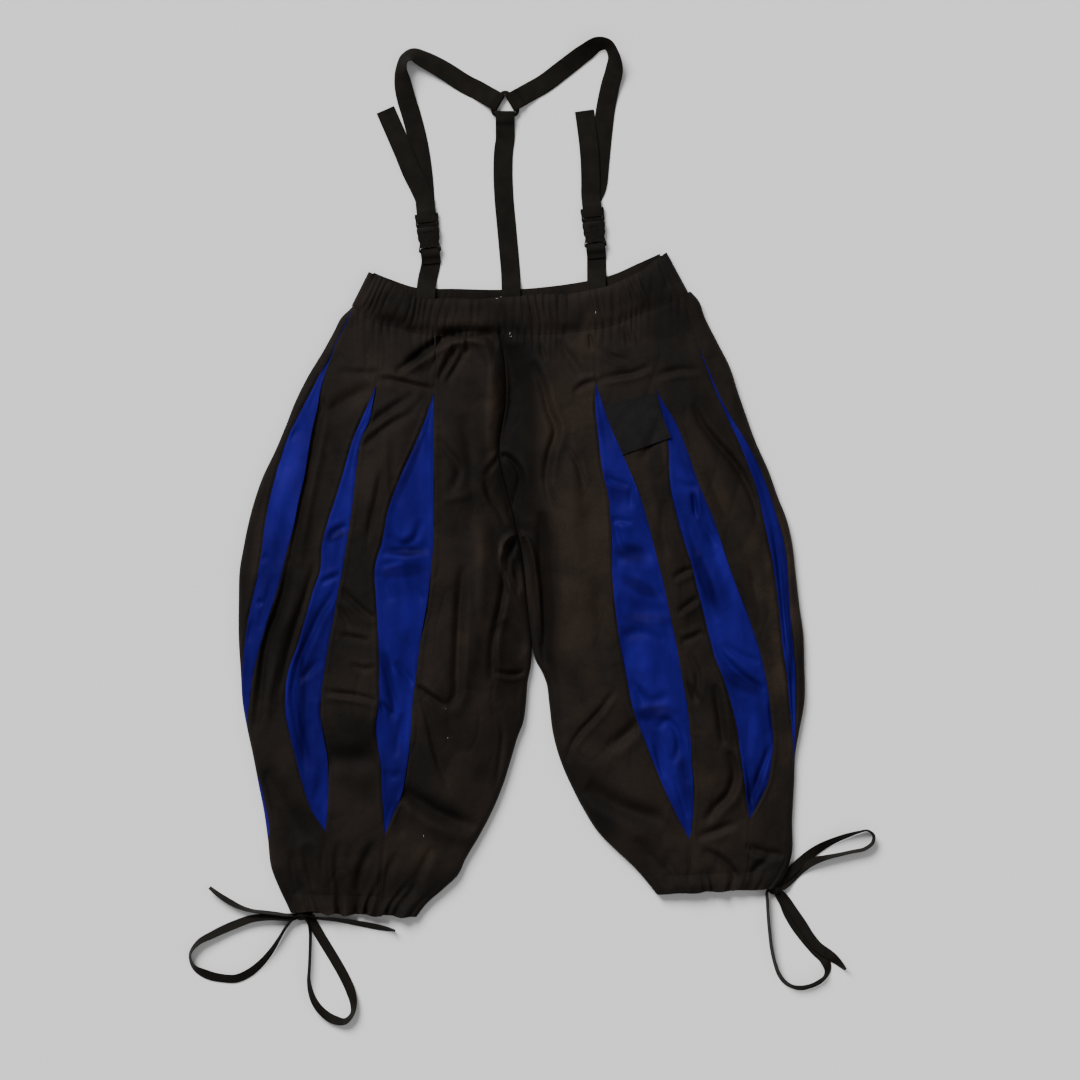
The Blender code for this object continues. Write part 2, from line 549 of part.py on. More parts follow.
def build_hem(leg, cotton, collection):
    """Drawstring casing: a gathered ring of cloth, its ends meeting under the leg."""
    down = np.linspace(1 + SEAM_GAP / LEG_LENGTH, HEM_END, 3)
    width = leg.edges(down)[1]
    girth = leg.girth(down)
    quarter = np.full(down.shape, FOLD_RADIUS * math.pi / 2)
    half = width / 2 - FOLD_RADIUS - SEAM_GAP / 2
    arcs = columns_between((-quarter - half, -quarter, 2), (-quarter, quarter, 4),
                           (quarter, girth - quarter, 3 * HEM_GATHERS),
                           (girth - quarter, girth + quarter, 4),
                           (girth + quarter, girth + quarter + half, 2))
    outside, inside = leg.walls(down[:, None], arcs, COTTON_WALL)
    share = np.clip((arcs - quarter[:, None]) / (girth - 2 * quarter)[:, None], 0, 1)
    phase = 2 * math.pi * HEM_GATHERS * (share + 0.012 * np.sin(9 * share))
    wave = np.sin(phase) * np.sin(math.pi * share) ** 0.3 * (share > 0) * (share < 1)
    lift = wave * HEM_GATHER_HEIGHT
    scallop = wave * np.linspace(0, HEM_SCALLOP, len(down))[:, None]
    for grid in (outside, inside):
        grid[..., 2] += lift
        grid[..., 1] += scallop
    sheet_solid(f"{leg.name}_hem_casing", outside, inside, cotton, collection)


def band_plan(share, up, side, seam):
    """Point of the waistband in the laid plane, across it and up from its seam."""
    table = np.array(BAND, float)
    stations = np.linspace(0, 1, len(table))
    columns = dict(zip(BandPoint._fields, table.T * MM))
    seam_x, top_x, top_y = (smooth_through(stations, columns[name], share)
                            for name in ("seam_x", f"{side}_x", f"{side}_y"))
    seam_y = seam(seam_x) + SEAM_GAP
    return seam_x + (top_x - seam_x) * up, seam_y + (top_y - seam_y) * up


def gather_wave(share, count):
    """Uneven rows of gathers, from -1 to 1."""
    drift = 0.006 * np.sin(23 * share) + 0.004 * np.sin(51 * share + 1)
    strength = 0.75 + 0.25 * np.sin(17 * share + 2)
    return strength * np.sin(2 * math.pi * count * (share + drift))


def build_waistband(seams, cotton, collection):
    """Gathered band: the front runs round both sides, and the back lies flat between them."""
    points = np.concatenate(seams)
    points = points[np.argsort(points[:, 0])]
    under = points[:, 2] < 0.5 * MM
    back_seam, front_seam = points[under], points[~under]

    def back_edge(at_x):
        return np.interp(at_x, back_seam[:, 0], back_seam[:, 1])

    def front_edge(at_x):
        above = np.interp(at_x, front_seam[:, 0], front_seam[:, 1])
        under_side = np.maximum(above, back_edge(at_x)) + ROLLED_SEAM_GAP
        return np.where(angle < 0.1, under_side, above)

    up = np.linspace(0, 1, 3)[:, None]
    quarter = BAND_RADIUS * math.pi / 2
    width = BAND_LAID_WIDTH
    girth = width + 2 * (math.pi / 2 - 1) * BAND_RADIUS
    turn, full = np.full(3, quarter), np.full(3, girth)
    arcs = columns_between((-turn, turn, 4), (turn, full - turn, 3 * BAND_GATHERS),
                           (full - turn, full + turn, 4))
    near = np.minimum(arcs, girth - arcs)
    rolled = near < quarter
    angle = np.clip(near, -quarter, quarter) / BAND_RADIUS
    from_side = np.where(rolled, BAND_RADIUS * (1 - np.cos(angle)), near - quarter + BAND_RADIUS)
    share = np.where(arcs < girth / 2, from_side, width - from_side) / width
    wave = gather_wave(share, BAND_GATHERS) * ease((near - quarter) / BAND_TURN_EASE)
    rise = (BAND_CREST - 2 * BAND_RADIUS) * ease((near - quarter) / BAND_RISE_EASE)
    x, y = band_plan(share, up, "front", front_edge)
    z = BAND_RADIUS * (1 + np.sin(angle)) + rise + wave * BAND_GATHER_HEIGHT
    outside = np.stack([x, y, z], -1)
    inward = np.where(arcs < girth / 2, 1, -1) * np.where(rolled, np.cos(angle), 0)
    downward = np.where(rolled, np.sin(angle), 1)
    inside = np.stack([x + inward * BAND_WALL, y, z - downward * BAND_WALL], -1)
    sheet_solid("waistband_front", outside, inside, cotton, collection)

    end = (BAND_RADIUS + BAND_END_GAP) / width
    share = np.linspace(end, 1 - end, 3 * BAND_GATHERS + 1)[None, :]
    x, y = band_plan(share, up[::2], "back", back_edge)
    under = np.stack([x, y, np.zeros(x.shape)], -1)
    over = under.copy()
    over[..., 2] = BAND_WALL + 0.5 * BAND_GATHER_HEIGHT * (1 + gather_wave(share, BAND_GATHERS))
    sheet_solid("waistband_back", under, over, cotton, collection)


def build_label(leg, mat, collection):
    """Blank sewn patch, made from the points of the panel that it lies on."""
    corners = np.array(LABEL_CORNERS) * MM
    share = np.linspace(0, 1, LABEL_SQUARES + 1)
    u, v = share[None, :, None], share[:, None, None]
    plan = (corners[0] * (1 - u) + corners[1] * u) * (1 - v)
    plan = plan + (corners[3] * (1 - u) + corners[2] * u) * v
    down, distance = leg.find(plan[..., 0], plan[..., 1])
    arc = leg.unrolled(distance)
    panel, inner = leg.walls(down, arc, COTTON_WALL)
    normal = (panel - inner) / COTTON_WALL
    top, bottom = (panel + normal * lift for lift in (LABEL_LIFT + LABEL_THICK, LABEL_LIFT))
    sheet_solid("label_patch", top, bottom, mat, collection)


def tape(name, ways, width, thick, mat, collection, steps=2):
    """Flat tape along a list of ways: its width lies across the line, turned by the tilt."""
    table = np.array(ways, float)
    far = np.linalg.norm(np.diff(table[:, :3], axis=0), axis=1)
    stations = np.concatenate([[0], np.cumsum(far)])
    count = (len(table) - 1) * steps
    fine = np.interp(np.arange(count + 1) / steps, np.arange(len(table)), stations)
    line = np.stack([smooth_through(stations, table[:, i], fine) for i in range(4)], -1)
    tilt = np.radians(line[:, 3])
    centre = line[:, :3] * MM
    centre[:, 2] = np.maximum(centre[:, 2], 0)
    along = np.gradient(centre, axis=0)
    along /= np.linalg.norm(along, axis=1, keepdims=True)
    centre[:, 2] += thick / 2 + width / 2 * np.abs(np.sin(tilt))
    across = np.zeros_like(centre)
    side = None
    for i, step in enumerate(along):
        flat = np.array([-step[1], step[0], 0])
        level = np.linalg.norm(flat)
        if side is None or level > 0.25:
            turned = flat / level
            side = turned if side is None or turned @ side > 0 else -turned
        across[i] = side - step * (side @ step)
    across /= np.linalg.norm(across, axis=1, keepdims=True)
    normal = np.cross(along, across)
    turned = across * np.cos(tilt)[:, None] + normal * np.sin(tilt)[:, None]
    face = np.cross(along, turned)
    half = np.array([-0.5, 0.5])[None, :, None] * width
    middle = centre[:, None, :] + turned[:, None, :] * half
    offset = face[:, None, :] * thick / 2
    return sheet_solid(name, middle + offset, middle - offset, mat, collection)


def bar_wrap(bar, heading, half_bar):
    """Half turn of webbing round a bar that lies across its heading, from under to over."""
    clear = (SEAM_GAP + WEBBING_THICK / 2) / MM + 0.05
    lift = HARDWARE_MIDDLE - WEBBING_THICK / MM / 2
    ways = []
    for i in range(5):
        angle = math.pi * i / 4
        back = (half_bar + clear) * abs(math.sin(angle)) ** WRAP_SQUARENESS
        rise = (RING_THICK / 2 + clear) * abs(math.cos(angle)) ** WRAP_SQUARENESS
        ways.append(Way(bar[0] - heading[0] * back, bar[1] - heading[1] * back,
                        lift - math.copysign(rise, math.cos(angle)), 0))
    return ways


def from_bar(bar, heading, steps):
    """Ways at given distances from a bar along a heading: (distance, lift) pairs, mm."""
    return [Way(bar[0] + heading[0] * ahead, bar[1] + heading[1] * ahead, lift, 0)
            for ahead, lift in steps]


def buckle_heading(side):
    turn = math.radians(BUCKLE_TURN[side])
    return -math.sin(turn), math.cos(turn)


def buckle_plan(side, ahead):
    """Point on a buckle's middle line, mm ahead of its middle towards the shoulder."""
    x, y = BUCKLE_AT[side]
    across, along = buckle_heading(side)
    return x + across * ahead, y + along * ahead


def ring_bar(heading):
    return RING_AT[0] + heading[0] * RING_BAR, RING_AT[1] + heading[1] * RING_BAR


def build_back_strap(mat, collection):
    heading = (0.0, -1.0)
    bar = ring_bar(heading)
    ways = from_bar(bar, heading, UNDER_RING) + bar_wrap(bar, heading, RING_HALF_BAR)
    ways += from_bar(bar, heading, OFF_RING) + BACK_STRAP
    tape("strap_back", ways, WEBBING_WIDTH, WEBBING_THICK, mat, collection)


def build_brace(side, mat, collection):
    """One webbing: from the ring over the shoulder, round the buckle's bar, to its free tail."""
    outward = -1 if side == "right" else 1
    angle = math.radians(SHOULDER_STRAP_ANGLE)
    heading = (outward * math.cos(angle), math.sin(angle))
    bar = ring_bar(heading)
    ways = from_bar(bar, heading, UNDER_RING) + bar_wrap(bar, heading, RING_HALF_BAR)
    ways += from_bar(bar, heading, OFF_RING) + SHOULDER[side]
    up = buckle_heading(side)
    frame_bar = buckle_plan(side, FRAME_BAR_AHEAD)
    ways += from_bar(frame_bar, up, UNDER_FRAME)
    ways += bar_wrap(frame_bar, up, FRAME_HALF_BAR)
    ways += from_bar(frame_bar, up, OFF_FRAME)
    ways += BRACE_TAIL[side]
    tape(f"strap_{side}", ways, WEBBING_WIDTH, WEBBING_THICK, mat, collection)


def build_tab(side, mat, collection):
    """Short webbing from inside the waistband, round the bar of the buckle's socket."""
    up = buckle_heading(side)
    down = (-up[0], -up[1])
    bar = buckle_plan(side, TAB_BAR_AHEAD)
    ways = TAB_FOOT[side][::-1] + from_bar(bar, down, UNDER_TAB)
    ways += bar_wrap(bar, down, TAB_HALF_BAR)
    ways += from_bar(bar, down, OFF_TAB)
    tape(f"tab_{side}", ways, WEBBING_WIDTH, WEBBING_THICK, mat, collection)


def add_cut(obj, cutter, cutters):
    """Boolean cut of one object by another, which is kept as a wire guide."""
    cutter.hide_render = True
    cutter.display_type = "WIRE"
    cutters.objects.link(cutter)
    modifier = obj.modifiers.new(cutter.name, "BOOLEAN")
    modifier.object = cutter
    modifier.operation = "DIFFERENCE"


def block(name, size, place, turn):
    """Box object, size and place in mm, turned about z in degrees."""
    mesh = bpy.data.meshes.new(name)
    bm = bmesh.new()
    bmesh.ops.create_cube(bm, size=1)
    bmesh.ops.scale(bm, vec=Vector(size) * MM, verts=bm.verts)
    bm.to_mesh(mesh)
    bm.free()
    obj = bpy.data.objects.new(name, mesh)
    obj.location = Vector(place) * MM
    obj.rotation_euler = (0, 0, math.radians(turn))
    return obj


def round_edges(obj, width):
    rounding = obj.modifiers.new("edges", "BEVEL")
    rounding.width = width
    rounding.segments = 2


def build_buckle(side, mat, collection, cutters):
    turn = BUCKLE_TURN[side]
    frame = block(f"{side}_buckle_frame", (FRAME_WIDTH, FRAME_LENGTH, FRAME_THICK),
                  (*buckle_plan(side, FRAME_AHEAD), HARDWARE_MIDDLE), turn)
    socket = block(f"{side}_buckle_socket", (SOCKET_WIDTH, SOCKET_LENGTH, SOCKET_THICK),
                   (*buckle_plan(side, SOCKET_AHEAD), SOCKET_BOTTOM + SOCKET_THICK / 2), turn)
    for obj, width in ((frame, 0.7 * MM), (socket, 1.6 * MM)):
        obj.data.materials.append(mat)
        collection.objects.link(obj)
        round_edges(obj, width)
    through = (SLOT_LENGTH, SLOT_WIDTH, 30)
    for label, obj, ahead in (("upper_slot", frame, UPPER_SLOT_AHEAD),
                              ("lower_slot", frame, LOWER_SLOT_AHEAD),
                              ("tab_slot", socket, TAB_SLOT_AHEAD)):
        cutter = block(f"{side}_{label}", through, (*buckle_plan(side, ahead), 0), turn)
        add_cut(obj, cutter, cutters)
    above_bar = HARDWARE_MIDDLE + RING_THICK / 2
    recess = block(f"{side}_tab_recess", (SLOT_LENGTH, 10, 10),
                   (*buckle_plan(side, TAB_BAR_AHEAD - 1.5), above_bar + 5), turn)
    add_cut(socket, recess, cutters)


def three_sided(name, radius, thick, rounding=0.0):
    """Three-sided plate with its point towards +Y, its upright edges rounded."""
    mesh = bpy.data.meshes.new(name)
    bm = bmesh.new()
    bmesh.ops.create_cone(bm, cap_ends=True, segments=3, radius1=radius * MM,
                          radius2=radius * MM, depth=thick * MM)
    if rounding:
        upright = [edge for edge in bm.edges
                   if abs(edge.verts[0].co.z - edge.verts[1].co.z) > thick * MM / 2]
        bmesh.ops.bevel(bm, geom=upright, offset=rounding * MM, segments=3, profile=0.5,
                        affect="EDGES", material=-1)
    bm.to_mesh(mesh)
    bm.free()
    obj = bpy.data.objects.new(name, mesh)
    obj.location = Vector((*RING_AT, HARDWARE_MIDDLE)) * MM
    return obj


def build_ring(mat, collection, cutters):
    """Triangular plastic ring that joins the back strap to the two shoulder straps."""
    ring = three_sided("strap_ring", RING_RADIUS, RING_THICK, 5.0)
    ring.data.materials.append(mat)
    collection.objects.link(ring)
    add_cut(ring, three_sided("ring_hole", RING_HOLE_RADIUS, 30), cutters)


def build_laces(mat, collection):
    for name, ways in LACES.items():
        tape(name, ways, LACE_WIDTH, LACE_THICK, mat, collection, steps=1)
    for side, (x, y) in KNOT_AT.items():
        mesh = bpy.data.meshes.new(f"{side}_lace_knot")
        bm = bmesh.new()
        bmesh.ops.create_icosphere(bm, subdivisions=2, radius=1)
        bmesh.ops.scale(bm, vec=Vector(KNOT_SIZE) * MM, verts=bm.verts)
        bmesh.ops.translate(bm, vec=Vector((x, y, KNOT_SIZE[2])) * MM, verts=bm.verts)
        bm.to_mesh(mesh)
        bm.free()
        add_object(f"{side}_lace_knot", mesh, mat, collection)


def remove_everything():
    for obj in list(bpy.data.objects):
        bpy.data.objects.remove(obj, do_unlink=True)


def main():
    remove_everything()
    collection = bpy.data.collections.new(GARMENT)
    cutters = bpy.data.collections.new("cutters")
    bpy.context.scene.collection.children.link(collection)
    bpy.context.scene.collection.children.link(cutters)

    cotton = material("black_cotton", (0.016, 0.012, 0.010), 0.85, sheen=0.2)
    satin = material("blue_satin", (0.010, 0.022, 0.20), 0.45, sheen=0.3)
    webbing = material("black_webbing", (0.014, 0.012, 0.010), 0.8)
    plastic = material("black_plastic", (0.010, 0.010, 0.010), 0.35)

    right = Leg("right_leg", RIGHT_SECTIONS, RIGHT_WAIST, RIGHT_HEM, RIGHT_SLASHES, 1)
    left = Leg("left_leg", LEFT_SECTIONS, LEFT_WAIST, LEFT_HEM, LEFT_SLASHES, -1)
    seams = []
    for leg in (right, left):
        seams.append(build_leg(leg, cotton, satin, collection))
        build_hem(leg, cotton, collection)
    build_waistband(seams, cotton, collection)
    build_label(left, webbing, collection)
    build_ring(plastic, collection, cutters)
    build_back_strap(webbing, collection)
    for side in ("right", "left"):
        build_buckle(side, plastic, collection, cutters)
        build_brace(side, webbing, collection)
        build_tab(side, webbing, collection)
    build_laces(webbing, collection)


main()
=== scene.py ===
"""Renaissance trousers laid flat: slashed knee breeches with a gathered waistband and braces.

Metres, +Z up, the floor at z = 0, the waist towards +Y. The wearer's right leg is at -X.
Cloth tables are in pixels of a 1080 pixel square seen from straight above, 1.1 mm to a pixel.
"""

import math
from collections import namedtuple

import bmesh
import bpy
import numpy as np
from bpy.props import FloatProperty, FloatVectorProperty, PointerProperty
from mathutils import Matrix, Vector, noise


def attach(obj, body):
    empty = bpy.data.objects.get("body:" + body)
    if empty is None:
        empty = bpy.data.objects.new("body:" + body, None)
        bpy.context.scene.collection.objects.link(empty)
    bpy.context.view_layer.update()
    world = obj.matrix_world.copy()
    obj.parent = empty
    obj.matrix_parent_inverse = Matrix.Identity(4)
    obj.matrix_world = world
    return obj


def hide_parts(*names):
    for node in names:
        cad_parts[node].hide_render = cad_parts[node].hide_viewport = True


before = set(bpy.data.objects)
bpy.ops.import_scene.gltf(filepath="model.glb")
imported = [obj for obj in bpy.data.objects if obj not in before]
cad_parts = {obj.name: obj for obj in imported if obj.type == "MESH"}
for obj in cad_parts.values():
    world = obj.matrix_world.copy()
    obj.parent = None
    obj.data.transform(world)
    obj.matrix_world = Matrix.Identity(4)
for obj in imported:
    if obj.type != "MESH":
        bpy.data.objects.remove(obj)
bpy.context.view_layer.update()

bl_info = {
    "name": "Renaissance trousers",
    "version": (1, 0, 0),
    "blender": (4, 5, 0),
    "location": "View3D > Sidebar > Trousers",
    "description": "Dresses the laid trousers: cloth, gathers, laces, braces and buckles",
    "category": "Add Mesh",
}

MM = 0.001
PIXEL = 1.1 * MM
MIDDLE_X = 522
MIDDLE_Y = 478
PICTURE_MIDDLE = 540
PICTURE_WIDTH = 1080
SENSOR = 36

# A leg: shares down it go from the waist seam (0) to the hem seam (1)
LEG_ROWS = 250
CROTCH_DOWN = 11 / 30
CROTCH_Y = -65 * MM
INSEAM_TURN = 0.1
HEM_END = 1.034
LEG_LENGTH = 620 * MM
FOLD_RADIUS = 6.0 * MM
QUARTER = FOLD_RADIUS * math.pi / 2
SIDE_WRAP = 20.0 * MM
SEAM_GAP = 0.01 * MM

# Height of the laid leg
WAIST_CREST = 14 * MM
LEG_CREST = 36 * MM
HEM_CREST = 14 * MM
LOWEST_TROUGH = 4.6 * MM
OUTER_DOME = 0.4
INNER_DOME = 0.32

# Creases: how far they are worked out, in widths, and their shares in the satin
CREASE_REACH = 3.4
SATIN_SHARE = 0.35
SATIN_DEPTH = 1.3
SATIN_SPREAD = 1.4
SEAM_CLEARING = 4 * MM

# Share down the leg in which a slash opens from its tip
TIP_EASE = 0.012

# Along a seam, in mm: the dip of the stitching, the ridge of the turned edge and the puckers.
# SHUT_SEAM is the share of them that is left where a slash is shut.
SHUT_SEAM = 0.16
SEAM_DIP = 1.1
SEAM_DIP_WIDTH = 1.7
WIDE_DIP = 1.2
WIDE_DIP_WIDTH = 7.0
TURNED_EDGE = 0.8
TURNED_EDGE_AT = 3.2
TURNED_EDGE_WIDTH = 2.2
INSERT_SINK = 1.6
PUCKER_LENGTH = 8.5
PUCKER_REACH = 6.5
SATIN_PUCKER = 0.25

# Gathers under the waistband and over the hems
UNDER_BAND_RISE = 1.5 * MM
UNDER_BAND_REACH = 13 * MM
OVER_HEM_RISE = 1.7
OVER_HEM_REACH = 17 * MM
BAND_GATHERS = 43
BAND_GATHER_HEIGHT = 1.5 * MM
HEM_GATHERS = 10
HEM_GATHER_HEIGHT = 1.2 * MM
HEM_ROLL = 0.8 * MM
HEM_PUFF = 0.9 * MM
HEM_SEAM_DIP = 0.2 * MM
HEM_DRAWN = {"right_leg": 1.0, "left_leg": 0.45}
# How far the hem's edge hangs below its line: (share across the hem, mm)
HEM_EDGE = {
    "right_leg": [(0, 0), (0.2, -1.6), (0.285, 1.7), (0.335, -0.6), (0.42, 1.9), (0.56, -1.7),
                  (0.7, 1.6), (0.79, -1.6), (0.91, 1.6), (1, 0)],
    "left_leg": [(0, 0), (0.16, 0.5), (0.3, -0.5), (0.5, 0.6), (0.58, -0.9), (0.66, 0.7),
                 (0.84, -0.3), (1, 0)],
}


def table(kind, *rows):
    """A table, with each row named by its kind."""
    return [kind(*row) for row in rows]


# Outlines, photo pixels
Edge = namedtuple("Edge", "y x")
RIGHT_OUTER = table(
    Edge, (282, 367), (296, 359), (304, 354.5), (309, 350.5), (316, 343), (332, 334), (352, 323),
    (375, 309), (403, 295), (426, 286), (452, 275), (477, 263), (503, 254), (526, 248), (546, 244),
    (569, 240), (600, 239), (640, 239), (672, 241), (703, 243), (726, 247), (754, 253), (785, 259),
    (810, 264), (838, 268), (869, 272), (889, 280), (908, 289), (920, 294))
LEFT_OUTER = table(
    Edge, (280, 682), (290, 689), (300, 698), (316, 704), (342, 717), (368, 730), (390, 737),
    (416, 746), (441, 755), (470, 768), (498, 778), (518, 786), (544, 792), (570, 795), (605, 799),
    (634, 803), (662, 804), (703, 804), (731, 799), (754, 795), (779, 794), (818, 792), (861, 790),
    (874, 785), (888, 775), (905, 763))
CENTRE_FRONT = table(
    Edge, (280, 493), (314, 495), (351, 503), (400, 505.6), (451, 499), (501, 510), (551, 521.5),
    (601, 527), (645, 532))
RIGHT_INNER = CENTRE_FRONT + table(
    Edge, (668, 530.5), (680, 528), (703, 526), (723, 523), (736, 518), (756, 512), (782, 504),
    (807, 494), (836, 479), (858, 466), (876, 457), (889, 443), (902, 428), (920, 414))
LEFT_INNER = CENTRE_FRONT + table(
    Edge, (660, 535.5), (672, 542), (682, 546), (703, 549), (734, 553), (762, 561), (785, 571),
    (810, 584), (833, 599), (852, 618), (865, 632), (883, 648), (892, 655), (905, 667))

# Slashes, photo pixels: y, x of the edge nearer the side seam and x of the edge nearer the
# centre front. A row of two is the seam beyond a slash's tips.
SlashPoint = namedtuple("SlashPoint", "y out into")


def slash(*rows):
    """A slash's two edges, on one line where a row has two numbers."""
    return [SlashPoint(row[0], row[1], row[-1]) for row in rows]


RIGHT_SLASHES = {
    1: slash(
        (282, 436.5), (330, 435.5), (393, 434), (413, 428, 434), (444, 416, 434), (475, 402, 434),
        (510, 389, 434), (541, 383, 434), (566, 376, 432), (600, 377, 428), (640, 379, 421),
        (680, 379.5, 416), (703, 379, 413), (723, 376, 412), (744, 378, 410), (764, 381, 407.5),
        (800, 383, 400), (820, 384, 391), (836, 385), (870, 382), (920, 376)),
    2: slash(
        (282, 386), (330, 381), (386, 376.5), (402, 370, 373.5), (419, 362.5, 370.5),
        (439, 354, 362), (470, 345, 357), (500, 336, 354), (528, 327, 350), (546, 323, 347),
        (571, 321, 343), (591, 314, 339), (616, 307, 335), (646, 298, 329), (672, 289, 325),
        (695, 286, 322), (713, 286, 321), (733, 290, 324), (756, 296, 328), (782, 303, 329),
        (807, 311, 328.5), (833, 326), (870, 329), (920, 334)),
    3: slash(
        (282, 372), (308, 353.5), (316, 349.5, 350.2), (340, 337.5, 338.3), (357, 330.3, 331.7),
        (374, 320.5, 325.6), (388, 313.5, 321.5), (408, 303, 318), (429, 292, 313),
        (452, 283, 309), (477, 276, 305), (503, 269.5, 299), (528, 265, 294), (554, 262, 287),
        (587, 255.5, 279), (621, 248.5, 268), (654, 244, 258.5), (680, 242, 252.5),
        (703, 242, 249.5), (723, 243.5, 248), (745, 246, 250.5), (770, 252, 256), (787, 256, 262),
        (803, 260, 265.5), (820, 264.5, 269), (842, 271), (870, 280), (920, 300)),
}
LEFT_SLASHES = {
    1: slash(
        (280, 595.5), (330, 595.5), (384, 596), (406, 603, 595), (431, 612, 597.5),
        (454, 622, 600), (475, 631, 603), (495, 639, 607.5), (521, 647, 610), (552, 655, 611),
        (584, 663, 612.5), (617, 670, 616), (640, 675, 619), (675, 681, 625.5), (708, 687, 632.5),
        (739, 690, 644), (766, 691.5, 654.5), (795, 693, 667), (818, 692, 678), (841, 689),
        (870, 688.5), (905, 688)),
    2: slash(
        (280, 630), (330, 634), (391, 656), (403, 663, 659), (419, 673, 663), (444, 684, 667.5),
        (470, 693, 668.5), (494, 702, 670.5), (515, 711, 675.5), (538, 719, 682),
        (563, 727, 690.5), (590, 737, 697), (618, 748, 704), (655, 760, 713.5), (682, 766, 724),
        (713, 770, 733), (741, 772.5, 738), (760, 771, 740.5), (782, 767, 744), (800, 759, 746),
        (820, 749), (865, 748), (905, 737)),
    3: slash(
        (280, 676), (320, 690), (350, 699.6), (364, 705.4, 704.8), (378, 711.3, 709.9),
        (400, 721, 718.5), (425, 735.5, 730), (446, 748, 740), (468, 759, 748.5),
        (488, 767, 755.5), (510, 774, 761), (533, 781, 766), (559, 786, 771.5), (590, 788.5, 776),
        (625, 790.5, 780), (650, 793, 782.5), (675, 795, 786.5), (703, 795, 789),
        (726, 795, 791.5), (746, 794.5, 792.5), (766, 793), (818, 789), (861, 784), (905, 757)),
}

# Waist seam and hem seam: (share of the way from the outer to the inner edge, y in mm)
RIGHT_WAIST = [(0, 189), (0.15, 170), (0.28, 165), (0.44, 158), (0.7, 156), (1, 157)]
LEFT_WAIST = [(0, 205), (0.14, 189), (0.27, 179), (0.39, 168), (0.52, 162), (0.67, 158), (1, 157)]
RIGHT_HEM = [(0, -456), (1, -461)]
LEFT_HEM = [(0, -430), (1, -438)]

# Creases: a trough (or ridge, with a negative depth) along a line of photo pixels. Depth and
# width in mm; roll is the share of the depth that stands up beside it, left of the way it goes
# if positive and right if negative. The line's points follow them.
Crease = namedtuple("Crease", "depth width roll line")


def creases(*rows):
    """Creases, with the points of each line after its three numbers."""
    return [Crease(*row[:3], row[3:]) for row in rows]


